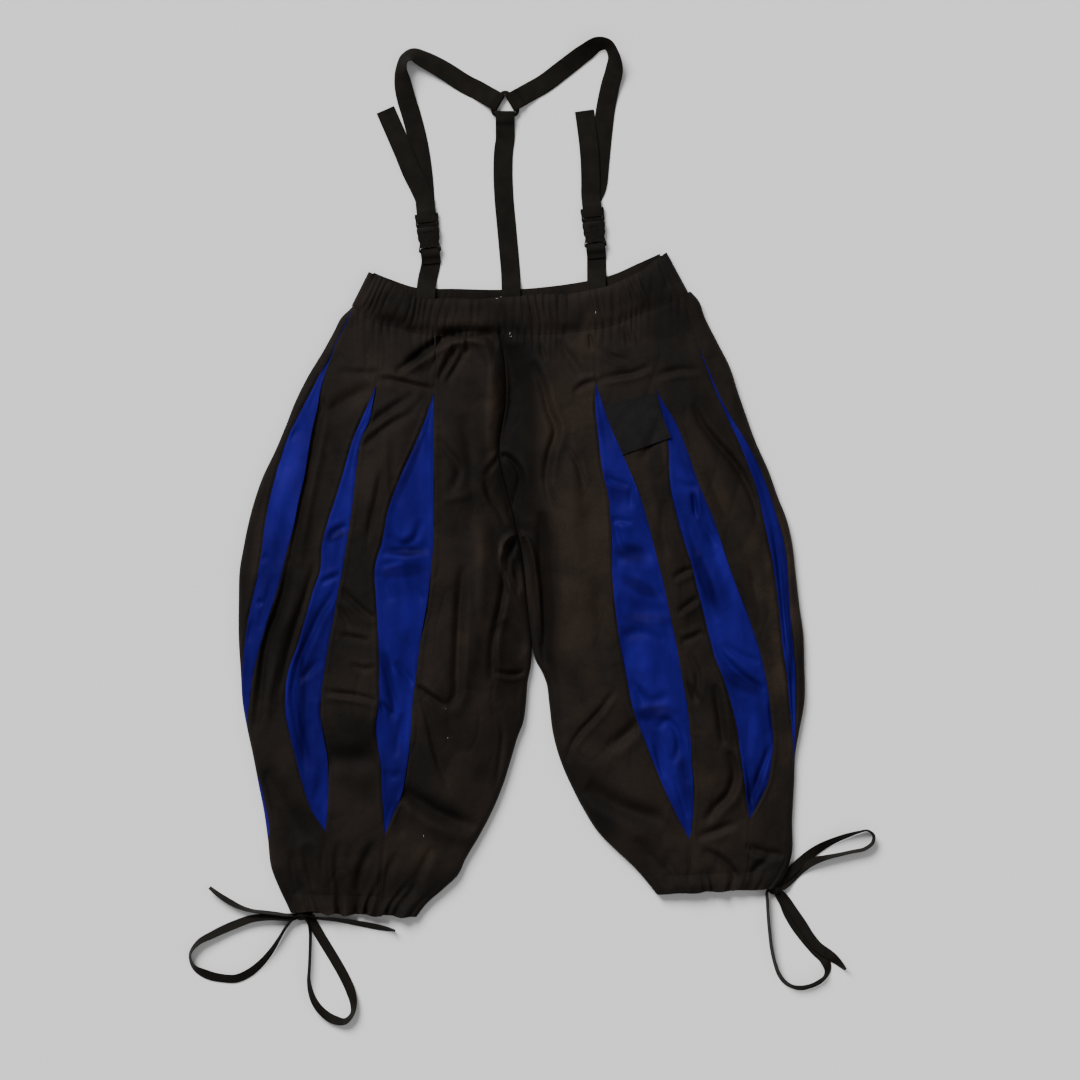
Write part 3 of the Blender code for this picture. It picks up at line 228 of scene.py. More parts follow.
COTTON_CREASES = creases(
    (7, 5, -0.5, (405, 364), (418, 356), (432, 346), (446, 338), (460, 334), (474, 333),
     (488, 336), (498, 346)),
    (3.5, 3.6, -0.5, (396, 373), (410, 363), (423, 353)),
    (1.8, 6.5, 0, (384, 315), (392, 330), (410, 334), (432, 328)),
    (1.4, 4.5, 0, (385, 318), (400, 322), (420, 322)),
    (-2.6, 8, 0, (446, 350), (462, 341), (478, 342), (488, 356), (491, 400)),
    (-2.4, 11, 0, (402, 395), (406, 430), (398, 480)),
    (1.6, 4, 0.3, (338, 372), (360, 374), (385, 373)),
    (3, 3.2, 0.55, (376, 379), (395, 381), (415, 386), (434, 390)),
    (2.1, 4.4, 0.5, (362, 431), (387, 413), (416, 393)),
    (2.5, 4.2, 0.5, (362, 449), (391, 425), (416, 412)),
    (-2, 5, 0, (385, 438), (387, 470), (388, 505)),
    (3, 3.5, 0.5, (439, 381), (448, 362), (458, 344)),
    (2.5, 3.2, 0.4, (446, 384), (456, 368), (466, 350)),
    (2.2, 3, 0.3, (467, 354), (468, 338)),
    (4, 8, 0, (322, 416), (345, 402), (372, 386)),
    (6, 5.2, 0.5, (323, 398), (314, 440), (305, 485), (296, 535), (291, 565)),
    (6, 5.8, 0.6, (290, 555), (286, 585), (280, 606), (268, 640), (263, 681), (256, 730)),
    (-3, 7, 0, (309, 560), (302, 595), (288, 630), (276, 668), (266, 700)),
    (2.6, 4, 0.3, (317, 560), (305, 600), (291, 645), (283, 690)),
    (3, 3.4, -0.5, (342, 589), (356, 603), (370, 615), (377, 619)),
    (2, 3, 0.4, (341, 634), (354, 637), (371, 640)),
    (1.8, 3, 0.3, (351, 664), (364, 668), (377, 667)),
    (3.2, 3, -0.6, (326, 691), (341, 693), (357, 695), (378, 701)),
    (4.4, 12, 0, (325, 758), (350, 758), (380, 756)),
    (2, 3.4, 0.4, (333, 604), (342, 611), (351, 628)),
    (2, 4, -0.3, (383, 470), (376, 505), (368, 540)),
    (3.6, 3.4, 0.45, (415, 685), (430, 695), (446, 706)),
    (5, 5.4, -0.55, (447, 708), (455, 697), (457, 670), (459, 620), (463, 566)),
    (-4.2, 10, 0, (482, 515), (482, 570), (477, 625), (468, 688)),
    (4.4, 4, 0.2, (500, 545), (505, 575), (500, 608), (493, 640), (492, 682)),
    (2.3, 3.4, -0.4, (422, 694), (430, 725), (437, 755), (449, 786)),
    (2.2, 3, 0.3, (492, 705), (502, 728), (500, 760), (496, 790)),
    (6, 8, -0.5, (398, 786), (420, 801), (446, 816), (476, 827)),
    (2.4, 6, 0.3, (392, 762), (400, 800), (402, 838)),
    (4.4, 11, 0, (266, 770), (284, 806), (306, 842)),
    (2, 4, 0.4, (296, 742), (306, 775), (309, 800)),
    (0.8, 3, 0, (326, 838), (322, 865), (318, 897)),
    (2.6, 5, 0.4, (306, 842), (309, 862), (314, 888)),
    (2.6, 5, -0.4, (374, 842), (362, 868), (358, 892)),
    (2, 4, 0.3, (340, 840), (337, 866), (340, 893)),
    (2.2, 4.5, 0.3, (292, 850), (294, 875), (300, 895)),
    (2.2, 5, -0.3, (398, 852), (388, 874), (384, 896)),
    (2.2, 5, 0.3, (432, 846), (420, 872), (410, 896)),
    (0.8, 3, 0, (385, 838), (382, 866), (379, 897)),
    (2.6, 5, 0.3, (437, 438), (449, 453), (459, 468), (451, 494)),
    (-1.6, 4, 0, (443, 501), (458, 498), (472, 494)),
    (2.2, 7, 0, (463, 415), (470, 450), (468, 492)),
    (-3.2, 8, 0, (489, 350), (493, 400), (489, 452)),
    (2.6, 5, 0, (501, 337), (507, 352), (511, 376), (511, 404), (506, 430), (503, 456)),
    (2.8, 3, 0.5, (484, 478), (493, 465), (503, 456), (514, 463), (520, 475), (516, 496),
     (508, 514)),
    (2.5, 3, -0.3, (484, 480), (491, 499), (500, 513), (505, 524)),
    (5, 14, 0, (514, 345), (521, 390), (523, 430), (520, 470), (526, 520)),
    (-5, 2.8, 0, (502, 574), (501, 556), (504, 543), (510, 536), (518, 534), (525, 537),
     (531, 549), (536, 575), (540, 610), (541, 645)),
    (-3.4, 2.6, 0, (503, 562), (507, 580), (514, 596), (520, 607)),
    (8.6, 3.8, 0, (510, 572), (509, 556), (512, 546), (517, 542), (522, 547), (526, 562),
     (529, 592), (530, 626)),
    (6, 3.4, 0, (514, 560), (517, 575), (521, 592)),
    (4, 11, 0, (500, 622), (512, 640), (526, 652)),
    (3.6, 2.6, -0.5, (495, 671), (511, 674), (528, 671)),
    (6.6, 6.4, 0.3, (541, 512), (542, 556), (543, 590), (545, 630), (544, 668)),
    (2.6, 5, 0.4, (558, 341), (569, 357), (582, 377)),
    (2.2, 3, 0.3, (590, 334), (592, 350)),
    (2.2, 3, 0.3, (623, 326), (629, 346)),
    (2, 3, -0.4, (604, 351), (614, 358), (628, 361)),
    (2, 3, 0.3, (541, 344), (545, 362)),
    (3.2, 3.2, -0.5, (601, 379), (618, 376), (635, 373), (650, 366)),
    (2.6, 3.4, -0.45, (656, 377), (676, 371), (699, 371)),
    (2.2, 3, 0.4, (573, 393), (586, 384), (602, 381)),
    (4.2, 4.6, 0.5, (533, 362), (543, 388), (549, 412), (556, 430), (550, 452), (546, 480),
     (552, 510)),
    (2.2, 3.4, 0.4, (567, 446), (577, 463), (584, 490)),
    (4.6, 4, 0.5, (692, 404), (702, 425), (715, 442), (731, 460), (748, 488), (758, 520)),
    (2.4, 5, -0.3, (705, 470), (715, 492), (727, 520)),
    (1.8, 5, 0.4, (740, 543), (750, 565), (755, 592), (761, 628)),
    (3, 3.4, -0.45, (672, 579), (685, 571), (698, 569)),
    (3, 3.4, -0.45, (677, 613), (688, 604), (698, 597)),
    (2.4, 3.4, 0.4, (680, 641), (691, 637), (703, 631)),
    (2.2, 3.8, 0.4, (688, 652), (697, 674), (693, 702)),
    (4.6, 4.6, 0.45, (714, 684), (719, 714), (723, 744)),
    (2, 3, 0.3, (686, 681), (698, 701)),
    (2, 5, 0.2, (640, 462), (652, 440), (659, 420)),
    (2, 5, 0.2, (664, 500), (662, 530), (668, 556)),
    (3.2, 3.2, 0.45, (613, 691), (603, 706), (590, 721), (579, 733), (570, 749), (567, 764)),
    (4, 6.4, 0.35, (643, 717), (626, 733), (608, 748)),
    (5.6, 10.5, -0.5, (586, 785), (610, 800), (636, 812), (665, 819)),
    (4.8, 5, 0.5, (728, 750), (734, 772), (728, 793), (716, 806), (704, 822)),
    (3, 4.4, -0.4, (696, 837), (715, 830), (735, 822)),
    (3.2, 4, 0.4, (702, 850), (717, 856), (729, 867), (738, 879)),
    (3.2, 4, -0.4, (744, 845), (764, 852), (784, 855)),
    (2.6, 4, 0.3, (750, 874), (762, 862), (772, 856)),
    (-3, 13, 0, (577, 400), (572, 500), (575, 610)),
    (2, 8, 0, (602, 540), (600, 620), (606, 680)),
    (1, 5, 0.3, (688, 846), (690, 868), (688, 886)),
    (1.4, 6, -0.3, (671, 848), (668, 868), (672, 888)),
    (1.2, 5, 0.3, (711, 866), (710, 880), (714, 890)),
    (1.4, 5, 0.3, (734, 866), (735, 878), (732, 890)),
    (2, 6, 0, (636, 838), (650, 856), (664, 872)))
SATIN_CREASES = creases(
    (2.6, 2.3, -0.4, (424, 422), (411, 449), (399, 477), (392, 502)),
    (2.6, 3, 0.5, (390, 534), (396, 541), (404, 545), (414, 540), (422, 520)),
    (3, 4, -0.5, (385, 549), (405, 551), (430, 547)),
    (1.6, 2.6, 0.3, (381, 566), (394, 562), (405, 561)),
    (-1.5, 5, 0, (424, 430), (427, 470), (424, 512)),
    (3, 3, 0.5, (380, 650), (388, 670), (392, 690), (395, 706), (391, 722)),
    (2.5, 3, -0.4, (396, 662), (406, 674), (416, 685)),
    (2.6, 2.6, 0.4, (377, 699), (386, 708), (393, 715)),
    (2, 3.4, 0.3, (403, 713), (400, 735), (396, 756)),
    (1.6, 3, 0.3, (385, 770), (393, 776), (402, 770)),
    (-1.5, 6, 0, (396, 598), (400, 630), (398, 662)),
    (1.3, 4, 0, (384, 580), (392, 602)),
    (1.6, 3, 0.3, (408, 570), (416, 590), (424, 600)),
    (3.2, 3, 0.5, (344, 568), (336, 590), (322, 612), (309, 640), (300, 660), (294, 690),
     (297, 718), (305, 750), (311, 777)),
    (2.2, 2.4, 0.4, (321, 583), (332, 578), (342, 574)),
    (2.4, 2.6, 0.4, (330, 536), (340, 529), (349, 526)),
    (2.2, 3, -0.3, (296, 683), (308, 672), (321, 659)),
    (2, 4, 0.3, (309, 719), (307, 745), (312, 770)),
    (-1.3, 4, 0, (318, 698), (322, 732)),
    (1.4, 3, 0.2, (320, 778), (316, 802)),
    (-1.2, 5, 0, (284, 468), (279, 510), (271, 560)),
    (2.4, 1.9, 0, (259, 599), (263, 605)),
    (1.4, 2.6, 0.3, (257, 561), (270, 555)),
    (1.9, 3, 0.3, (260, 630), (267, 602), (275, 575)),
    (1.4, 3, 0.2, (247, 642), (252, 620)),
    (1.4, 3, 0.2, (290, 440), (300, 428)),
    (2.3, 2.5, -0.4, (603, 477), (615, 482), (629, 486)),
    (2.2, 2.6, 0.3, (634, 481), (631, 495), (630, 508)),
    (2.3, 2.5, -0.4, (609, 519), (620, 521), (632, 522)),
    (2.2, 2.6, 0.3, (612, 520), (616, 533), (621, 550)),
    (2.2, 5, 0, (613, 560), (628, 555), (642, 553), (656, 557)),
    (2.2, 6.5, 0, (616, 600), (640, 610), (669, 611)),
    (2, 4, 0.3, (618, 641), (628, 634), (642, 632), (662, 641)),
    (3.2, 3, 0.5, (656, 728), (667, 720), (674, 727), (678, 745), (673, 763)),
    (2.6, 3, -0.4, (654, 731), (658, 752), (663, 778)),
    (2.2, 3, 0.3, (680, 737), (683, 760), (689, 782)),
    (2.2, 4, 0.3, (636, 689), (650, 700), (670, 694)),
    (2, 2.5, 0.3, (674, 774), (680, 795), (687, 817)),
    (2.2, 3, 0.3, (629, 680), (639, 693), (643, 707)),
    (1.8, 4, -0.3, (648, 570), (655, 590), (668, 600)),
    (4.6, 1.9, 0.4, (692, 493), (694, 505), (695, 517)),
    (2.2, 3, 0.3, (698, 520), (708, 535), (715, 547)),
    (1.5, 3, 0.3, (674, 482), (688, 487), (701, 484)),
    (1.8, 3, 0.3, (684, 515), (692, 535), (697, 556)),
    (3.2, 3, 0.5, (713, 645), (722, 655), (733, 668), (748, 680), (764, 690)),
    (-1.6, 5, 0, (704, 560), (715, 588), (728, 608)),
    (2.2, 3, -0.4, (720, 643), (740, 655), (759, 663)),
    (2, 3.5, 0.3, (699, 562), (706, 590), (717, 622)),
    (2.2, 4, 0.3, (744, 698), (748, 730), (746, 758)),
    (-1.3, 3.4, 0, (765, 700), (768, 732)),
    (3.2, 2.6, 0.5, (771, 743), (762, 765), (755, 785), (749, 805)),
    (2.2, 2.6, 0.3, (745, 760), (748, 780), (749, 802)),
    (2.6, 2.2, 0.4, (771, 520), (777, 560), (781, 600), (786, 652)),
    (2.2, 2, 0.3, (792, 655), (791, 690), (792, 722)))

# Soft patches of painted shade, darker in the cloth's hollows and folds, and of painted light,
# lighter where the cloth catches more light: middle and half sizes in photo pixels, turn of the
# long side in degrees, and the share of the cotton's colour there
Fade = namedtuple("Fade", "x y wide long turn shade")
COTTON_PAINTED_SHADING = table(
    Fade, (521, 432, 27, 165, 0, 0.38), (545, 590, 20, 120, 0, 0.4), (503, 668, 24, 36, 0, 0.52),
    (532, 522, 22, 34, 20, 0.6), (492, 418, 9, 92, 0, 1.7), (485, 590, 14, 70, 2, 1.9),
    (446, 650, 34, 60, 0, 1.5), (320, 470, 25, 135, -14, 0.7), (292, 585, 20, 100, -12, 0.42),
    (268, 655, 13, 60, -14, 0.66), (245, 550, 12, 66, -3, 0.56), (262, 470, 27, 135, -14, 0.72),
    (350, 738, 46, 34, 0, 0.52), (362, 772, 36, 28, 0, 0.58), (335, 412, 28, 12, 20, 0.74),
    (381, 490, 9, 62, -15, 0.7), (303, 830, 42, 44, 0, 0.38), (428, 806, 54, 20, -12, 0.64),
    (455, 724, 44, 15, 8, 0.78), (440, 856, 36, 28, 0, 1.35), (362, 888, 72, 30, 0, 0.5),
    (284, 886, 26, 30, 0, 0.64), (762, 605, 17, 115, 9, 1.6), (786, 560, 12, 130, 5, 1.8),
    (784, 712, 18, 66, 3, 1.8), (703, 752, 26, 74, 0, 1.25), (716, 432, 19, 64, 24, 0.6),
    (659, 480, 13, 60, 10, 0.54), (692, 600, 20, 95, 12, 0.64), (668, 318, 52, 30, 25, 0.62),
    (440, 302, 90, 21, 0, 0.62), (490, 312, 18, 18, 0, 0.66), (622, 296, 64, 17, 15, 0.72),
    (424, 352, 22, 6, 38, 0.56), (464, 334, 30, 7, 4, 0.6), (578, 500, 52, 240, 0, 1.32),
    (632, 815, 64, 18, -12, 0.66), (584, 790, 28, 58, 26, 0.64), (553, 690, 10, 60, 8, 0.62),
    (703, 872, 34, 18, 0, 1.35), (602, 725, 48, 46, 0, 1.2), (729, 520, 15, 54, 18, 1.3),
    (512, 338, 20, 26, 0, 0.7), (506, 480, 17, 40, 0, 0.62), (502, 562, 4, 26, 4, 1.9),
    (515, 537, 14, 5, 0, 1.9), (537, 592, 5, 50, -4, 1.7), (516, 592, 5, 24, 12, 1.7),
    (505, 546, 8, 12, -30, 1.6), (516, 563, 6, 20, -8, 0.55), (282, 612, 9, 62, -14, 0.56),
    (773, 610, 9, 90, 6, 1.6))
# Painted shade along the satin's folds and painted light on its rises, in the same columns
SATIN_PAINTED_SHADING = table(
    Fade, (405, 551, 28, 7, 0, 0.5), (410, 468, 6, 48, -22, 0.58), (395, 778, 24, 56, 0, 0.66),
    (402, 571, 36, 9, 6, 0.7), (389, 690, 7, 50, 5, 0.62), (408, 610, 14, 30, -10, 1.2),
    (336, 536, 16, 7, 18, 0.6), (312, 700, 32, 150, -4, 0.68), (292, 668, 5, 60, -14, 1.5),
    (303, 700, 5, 70, 0, 0.62), (262, 620, 30, 120, -12, 0.72), (288, 470, 16, 60, -20, 1.2),
    (619, 492, 16, 15, 20, 0.66), (630, 553, 22, 13, -15, 0.56), (638, 586, 30, 9, -28, 0.66),
    (655, 712, 30, 10, 5, 0.54), (650, 620, 32, 9, -5, 0.74), (640, 655, 26, 20, 0, 1.25),
    (683, 775, 8, 34, 12, 0.66), (605, 430, 8, 34, 8, 0.76), (702, 575, 9, 52, 22, 0.56),
    (742, 682, 26, 12, -25, 0.56), (753, 792, 12, 30, -12, 0.54), (684, 455, 10, 32, 15, 0.72),
    (722, 560, 9, 50, 18, 1.3), (755, 735, 10, 34, 0, 1.25), (787, 620, 4, 74, 6, 0.5))
# Warm tint of the cotton's painted light patches
PAINTED_LIGHT_WARMTH = (1.05, 1.0, 0.95)

# Small wrinkles that lie all over: height in mm, length along and across the leg in mm, and
# whether they are sharp creases rather than soft waves
Wrinkle = namedtuple("Wrinkle", "height along across sharp", defaults=[False])
COTTON_WRINKLES = table(
    Wrinkle, (3.2, 95, 48), (1.1, 40, 22), (0.4, 18, 12), (1.0, 75, 30, True), (0.5, 26, 34, True),
    (0.12, 8, 7))
SATIN_WRINKLES = table(Wrinkle, (2.4, 60, 26), (0.9, 26, 13), (0.22, 12, 8))
BACK_WRINKLES = table(Wrinkle, (1.1, 60, 26), (0.4, 22, 14))
BACK_ROWS = 120

# The waistband, mm: x of its lower seam, then the front's top edge and the back's top edge
BandPoint = namedtuple("BandPoint", "seam_x front_x front_y back_x back_y")
BAND = table(
    BandPoint, (-187, -168.5, 226.5, -168, 228), (-166, -146, 216, -146, 219),
    (-124, -114, 198, -114, 209), (-79, -72, 197, -72, 208), (-30, -27, 198, -27, 207),
    (20, 15, 201, 15, 209), (66, 62, 204, 62, 215), (105, 98, 212, 98, 223),
    (145, 128, 227, 128, 236), (182.5, 159, 248, 159, 250))
# How strongly the elastic draws the band together: (share across the band, strength)
BAND_PULL = [(0, 0.4), (0.07, 1.1), (0.22, 1.2), (0.29, 0.4), (0.44, 0.35), (0.53, 1.1),
             (0.68, 1.0), (0.75, 0.35), (0.85, 0.5), (0.91, 1.1), (0.97, 0.9), (1, 0.4)]
BAND_BLEND = 0.3
BAND_WRINKLES = table(Wrinkle, (2.2, 34, 22), (1.3, 26, 7), (0.5, 12, 5))
BAND_HEIGHT = 40 * MM
BAND_BACK_HEIGHT = 46 * MM
BAND_BACK_WALL = 1.9 * MM
BAND_ROWS = 15
BAND_BACK_ROWS = 11
BAND_UNDER_GAP = 0.9 * MM
BAND_PUFF = 1.6 * MM
BAND_SEAM_DIP = 1.3 * MM
BAND_TOP_ROLL = 2.4 * MM
BAND_DRAWN = 0.8 * MM
BAND_BACK_RIPPLE = 0.9 * MM
BAND_LAID_WIDTH = 345 * MM
BAND_RADIUS = 6 * MM
BAND_CREST = 15 * MM
BAND_END_GAP = 3.5 * MM
BAND_TURN_EASE = 12 * MM
BAND_RISE_EASE = 40 * MM
BAND_LEFT = -184 * MM
BAND_RIGHT = 181 * MM

# The blank patch: its corners on the left leg's front and its size in mm, its stitches, and the
# share of the creases under it that it follows
LABEL_CORNERS = [(91, 79), (144, 93), (163, 44), (110, 25)]
LABEL_SIZE = (55, 53)
LABEL_STEPS = 24
LABEL_STITCHES = 17
LABEL_STITCH_INSET = 0.045
LABEL_FOLLOWS = 0.45
LABEL_LIFT = 1.1 * MM
LABEL_THICK = 0.6 * MM

# Ring and buckles in mm: a buckle is a frame that the brace runs through and a socket below it,
# placed along the buckle's own length, ahead of its middle towards the shoulder. The ring and
# its hole are triangles: how far out their round corners' middles are, and the corners' radius
RING_AT = (-18.5, 409)
RING_CORNERS, RING_ROUNDING = 10.0, 7.0
HOLE_CORNERS, HOLE_ROUNDING = 9.0, 4.0
RING_EDGE = RING_CORNERS / 2 + RING_ROUNDING
HOLE_EDGE = HOLE_CORNERS / 2 + HOLE_ROUNDING
RING_THICK = 3.0
HARDWARE_MIDDLE = 3.5
BUCKLE_AT = {"right": (-103, 269), "left": (79, 275)}
BUCKLE_TURN = {"right": 6, "left": 5.5}
FRAME_AHEAD = 14.2
SOCKET_AHEAD = -7.4
SOCKET_BOTTOM = 1.95
SOCKET_THICK = 6.2
FRAME_BAR_AHEAD = 14.3
TAB_BAR_AHEAD = -19.3
RING_BAR = (RING_EDGE + HOLE_EDGE) / 2
RING_HALF_BAR = (RING_EDGE - HOLE_EDGE) / 2
FRAME_HALF_BAR = 1.5
TAB_HALF_BAR = 1.6
SHOULDER_STRAP_ANGLE = 30

# Webbing round a bar: (distance from the bar, lift) in mm before and after the half turn
WEBBING_THICK = 1.4
WRAP_SQUARENESS = 0.5
RING_SLACK = 1.4
UNDER_RING = [(14, 0), (5, 0)]
OFF_RING = [(6, 5.0), (11, 2.6), (17, 1.7), (26, 0.1)]
UNDER_FRAME = [(14, 0), (9, 0), (4, 0)]
OFF_FRAME = [(6, 5.4), (10, 5.2), (15, 3.4), (22, 1.9)]
UNDER_TAB = [(9, 0), (5, 0)]
OFF_TAB = [(5, 5.2), (9, 3.0), (14, 1.8)]

# Ways of the webbing and the laces, mm: the middle line in the laid plane, how far the tape
# lies above the floor, and how far it is tilted on to its edge, in degrees
Way = namedtuple("Way", "x y lift tilt", defaults=[0, 0])
BACK_STRAP = table(
    Way, (-20, 362), (-21, 340), (-20, 310), (-17, 276), (-14, 243), (-12.6, 226, 0.1),
    (-12.2, 217, 1.5), (-12, 211, 3.5), (-11.6, 190, 3.6))
SHOULDER = {
    "right": table(
        Way, (-58, 431), (-87, 449, 0, 10), (-108, 460, 0, 25), (-121, 465, 0, 45),
        (-129, 461, 0, 58), (-132.5, 451, 0, 55), (-131, 434, 0, 25), (-127, 416, 0, 8),
        (-122, 400), (-114, 368), (-109, 335)),
    "left": table(
        Way, (20, 431), (46, 450, 0, 10), (70, 468, 0, 25), (85, 477, 0, 45), (94, 476, 0, 58),
        (100.5, 465, 0, 55), (101.5, 450, 0, 25), (97, 431, 0, 8), (92.5, 409), (88.6, 378),
        (85.4, 345), (82.5, 320)),
}
BRACE_TAIL = {
    "right": table(
        Way, (-112, 318, 1.8), (-121, 336, 1.8), (-130, 358, 1.8), (-138.6, 378, 1.0),
        (-150.4, 405)),
    "left": table(
        Way, (75.5, 322, 1.8), (75, 345, 1.8), (73, 370, 1.8), (71, 386, 1.0), (68.5, 404)),
}
TAB_FOOT = {
    "right": table(
        Way, (-104, 218, 0.2), (-105, 211, 3.4), (-105.5, 203, 6.6), (-106, 190, 9.6)),
    "left": table(
        Way, (82, 230, 0.2), (82, 222, 3.4), (82, 212, 6.6), (82, 194, 9.6)),
}

# Stitches across the back strap's turned end
TACK_AT = (-20.2, 381)
TACKS = 7
TACK_STEP = 2.5

# Tapes: how much a pinched end narrows and over what length, the sides round a tape and the
# steps from one way to the next
PINCH = 0.7
PINCH_LENGTH = 8 * MM
TAPE_SIDES = 20
TAPE_STEPS = 6

# Knots and laces of the hems, mm. A lace starts INTO_KNOT of the way from its knot's middle.
KNOT_AT = {"right": (-242, -481), "left": (278, -452.5)}
KNOT_SIZE = (7.4, 5.4, 4.6)
INTO_KNOT = 0.3
LACES = {
    "right_lace_short_end": table(
        Way, (-252, -480.4, 0.6, 75), (-260, -480.4, 0, 75), (-269, -479, 0, 74),
        (-282, -477.4, 0, 74), (-297, -475.6, 0, 74), (-309, -472, 0, 68), (-321, -466, 0, 60),
        (-333, -458.3, 0, 66), (-343.5, -450, 0, 76)),
    "right_lace_outer_loop": table(
        Way, (-252, -483.6, 0.6, 60), (-262, -483.6, 0, 60), (-275, -482.7, 0, 55),
        (-297, -484.6, 0, 45), (-318, -492, 0, 35), (-340, -502, 0, 45), (-356.8, -511.5, 0, 62),
        (-365, -524, 0, 76), (-361.4, -536.3, 0, 62), (-347.2, -545.6, 0, 25), (-329, -550, 0, 30),
        (-314.5, -550.4, 0, 30), (-301.4, -545, 0, 32), (-286.6, -533.2, 0, 45),
        (-274.8, -518.9, 0, 60), (-266.4, -505.4, 0, 72), (-258.4, -492.5, 0, 76),
        (-250.8, -484.5, 0, 78)),
    "right_lace_lower_loop": table(
        Way, (-235.5, -480.5, 2.0, 20), (-229.5, -490.5, 1.2, 5), (-219.5, -507.5, 0.4),
        (-207, -528), (-196, -547.4), (-188.4, -564.3, 0, 15), (-185.2, -578, 0, 45),
        (-186.8, -589.5, 0, 66), (-194.5, -597.3, 0, 55), (-206.8, -595.6, 0, 30),
        (-218.9, -587.6, 0, 38), (-227.6, -576.6, 0, 50), (-232.4, -564.3, 0, 62),
        (-234.3, -552, 0, 72), (-233.6, -537.7, 0, 76), (-233, -523, 0, 76), (-232.6, -510, 0, 76),
        (-232.8, -498, 0, 76), (-235.5, -487, 0, 78)),
    "right_lace_long_end": table(
        Way, (-234, -482.4, 1.4, 74), (-222, -484.2, 0.6, 72), (-207, -485.3, 0, 66),
        (-190, -487.8, 0, 60), (-168, -491.8, 0, 52), (-151, -495.2, 0, 58),
        (-139, -497.8, 0, 76)),
    "left_lace_outer_loop": table(
        Way, (283.4, -446.5, 1.8, 25), (291, -437.4, 1.6, 5), (301.6, -427.2, 1.4),
        (314.4, -415.8, 0.6, 10), (326.5, -407.2, 0, 28), (342.8, -398.8, 0, 50),
        (358.6, -392.8, 0, 62), (370.5, -389.2, 0, 74), (380, -387.6, 0, 78), (386.6, -393, 0, 76),
        (385.6, -400.3, 0, 76), (378.2, -406.9, 0, 74), (362.6, -410.8, 0, 74),
        (346.7, -414.4, 0, 72), (330.9, -418, 0, 60), (316.5, -423, 0, 30), (304.5, -431.4, 0, 5),
        (294.5, -441.5, 0, 5), (285.5, -449, 0, 30)),
    "left_lace_lower_loop": table(
        Way, (270.5, -453.5, 0.6, 78), (269.8, -466, 0, 76), (270.6, -482, 0, 76),
        (272.2, -500, 0, 75), (274.6, -518.8, 0, 74), (278.4, -534.6, 0, 72), (282.8, -546, 0, 68),
        (289.6, -554.6, 0, 66), (297.4, -559, 0, 66), (306, -560.6, 0, 58), (317, -558.6, 0, 60),
        (326.9, -554, 0, 58), (333.6, -548, 0, 62), (336, -540.5, 0, 48), (333.2, -530.4, 0, 8),
        (322.6, -519.4), (311.5, -506.5), (300.6, -492), (292.6, -478), (287, -464.5, 0, 10),
        (281, -456, 0, 30)),
    "left_lace_long_end": table(
        Way, (283, -456.5, 1.6, 25), (289.6, -464.5, 1.5, 5), (298.6, -477.6, 1.5),
        (307.4, -490.2, 1.5), (315.6, -503.4, 1.5), (325.4, -515.4, 1.5), (336.4, -523.4, 1.3),
        (347.4, -532, 0, 45), (355.6, -540.4, 0, 74)),
}

# Bits of light thread on the cloth: photo pixel, length in mm and heading in degrees
Bit = namedtuple("Bit", "x y length turn")
THREAD_BITS = table(
    Bit, (510, 334, 3.4, 80), (511, 337, 2.0, 20), (595.5, 313, 3.2, 95), (497, 299, 3.0, 15),
    (501, 297, 2.2, 60), (448, 737, 1.6, 40), (424, 835, 2.2, 100), (446, 708, 1.2, 0))


# Shapes in numbers


def smooth_through(xs, ys, x):
    """Value at x of the smooth curve through the points, by cubic Hermite pieces."""
    xs, ys = np.asarray(xs, float), np.asarray(ys, float)
    slope = np.gradient(ys, xs)
    i = np.clip(np.searchsorted(xs, x) - 1, 0, len(xs) - 2)
    step = xs[i + 1] - xs[i]
    t = (x - xs[i]) / step
    start = (2 * t**3 - 3 * t**2 + 1) * ys[i] + (t**3 - 2 * t**2 + t) * step * slope[i]
    return start + (3 * t**2 - 2 * t**3) * ys[i + 1] + (t**3 - t**2) * step * slope[i + 1]


def ease(t):
    """0 below 0, 1 above 1, smooth between."""
    t = np.clip(t, 0, 1)
    return t * t * (3 - 2 * t)


def bell(distance, width):
    return np.exp(-((distance / width) ** 2))


def laid(px, py):
    """Point of the laid plane, in metres, for a photo pixel."""
    return (np.asarray(px, float) - MIDDLE_X) * PIXEL, (MIDDLE_Y - np.asarray(py, float)) * PIXEL


def smooth_line(line):
    """Photo pixels to a smooth line in the laid plane, and the stations along it, in metres."""
    x, y = laid(*np.array(line, float).T)
    far = np.concatenate([[0], np.cumsum(np.hypot(np.diff(x), np.diff(y)))])
    fine = np.linspace(0, far[-1], 4 * (len(line) - 1) + 1)
    if len(line) > 2:
        x, y = smooth_through(far, x, fine), smooth_through(far, y, fine)
    else:
        x, y = np.interp(fine, far, x), np.interp(fine, far, y)
    return np.stack([x, y], -1), fine


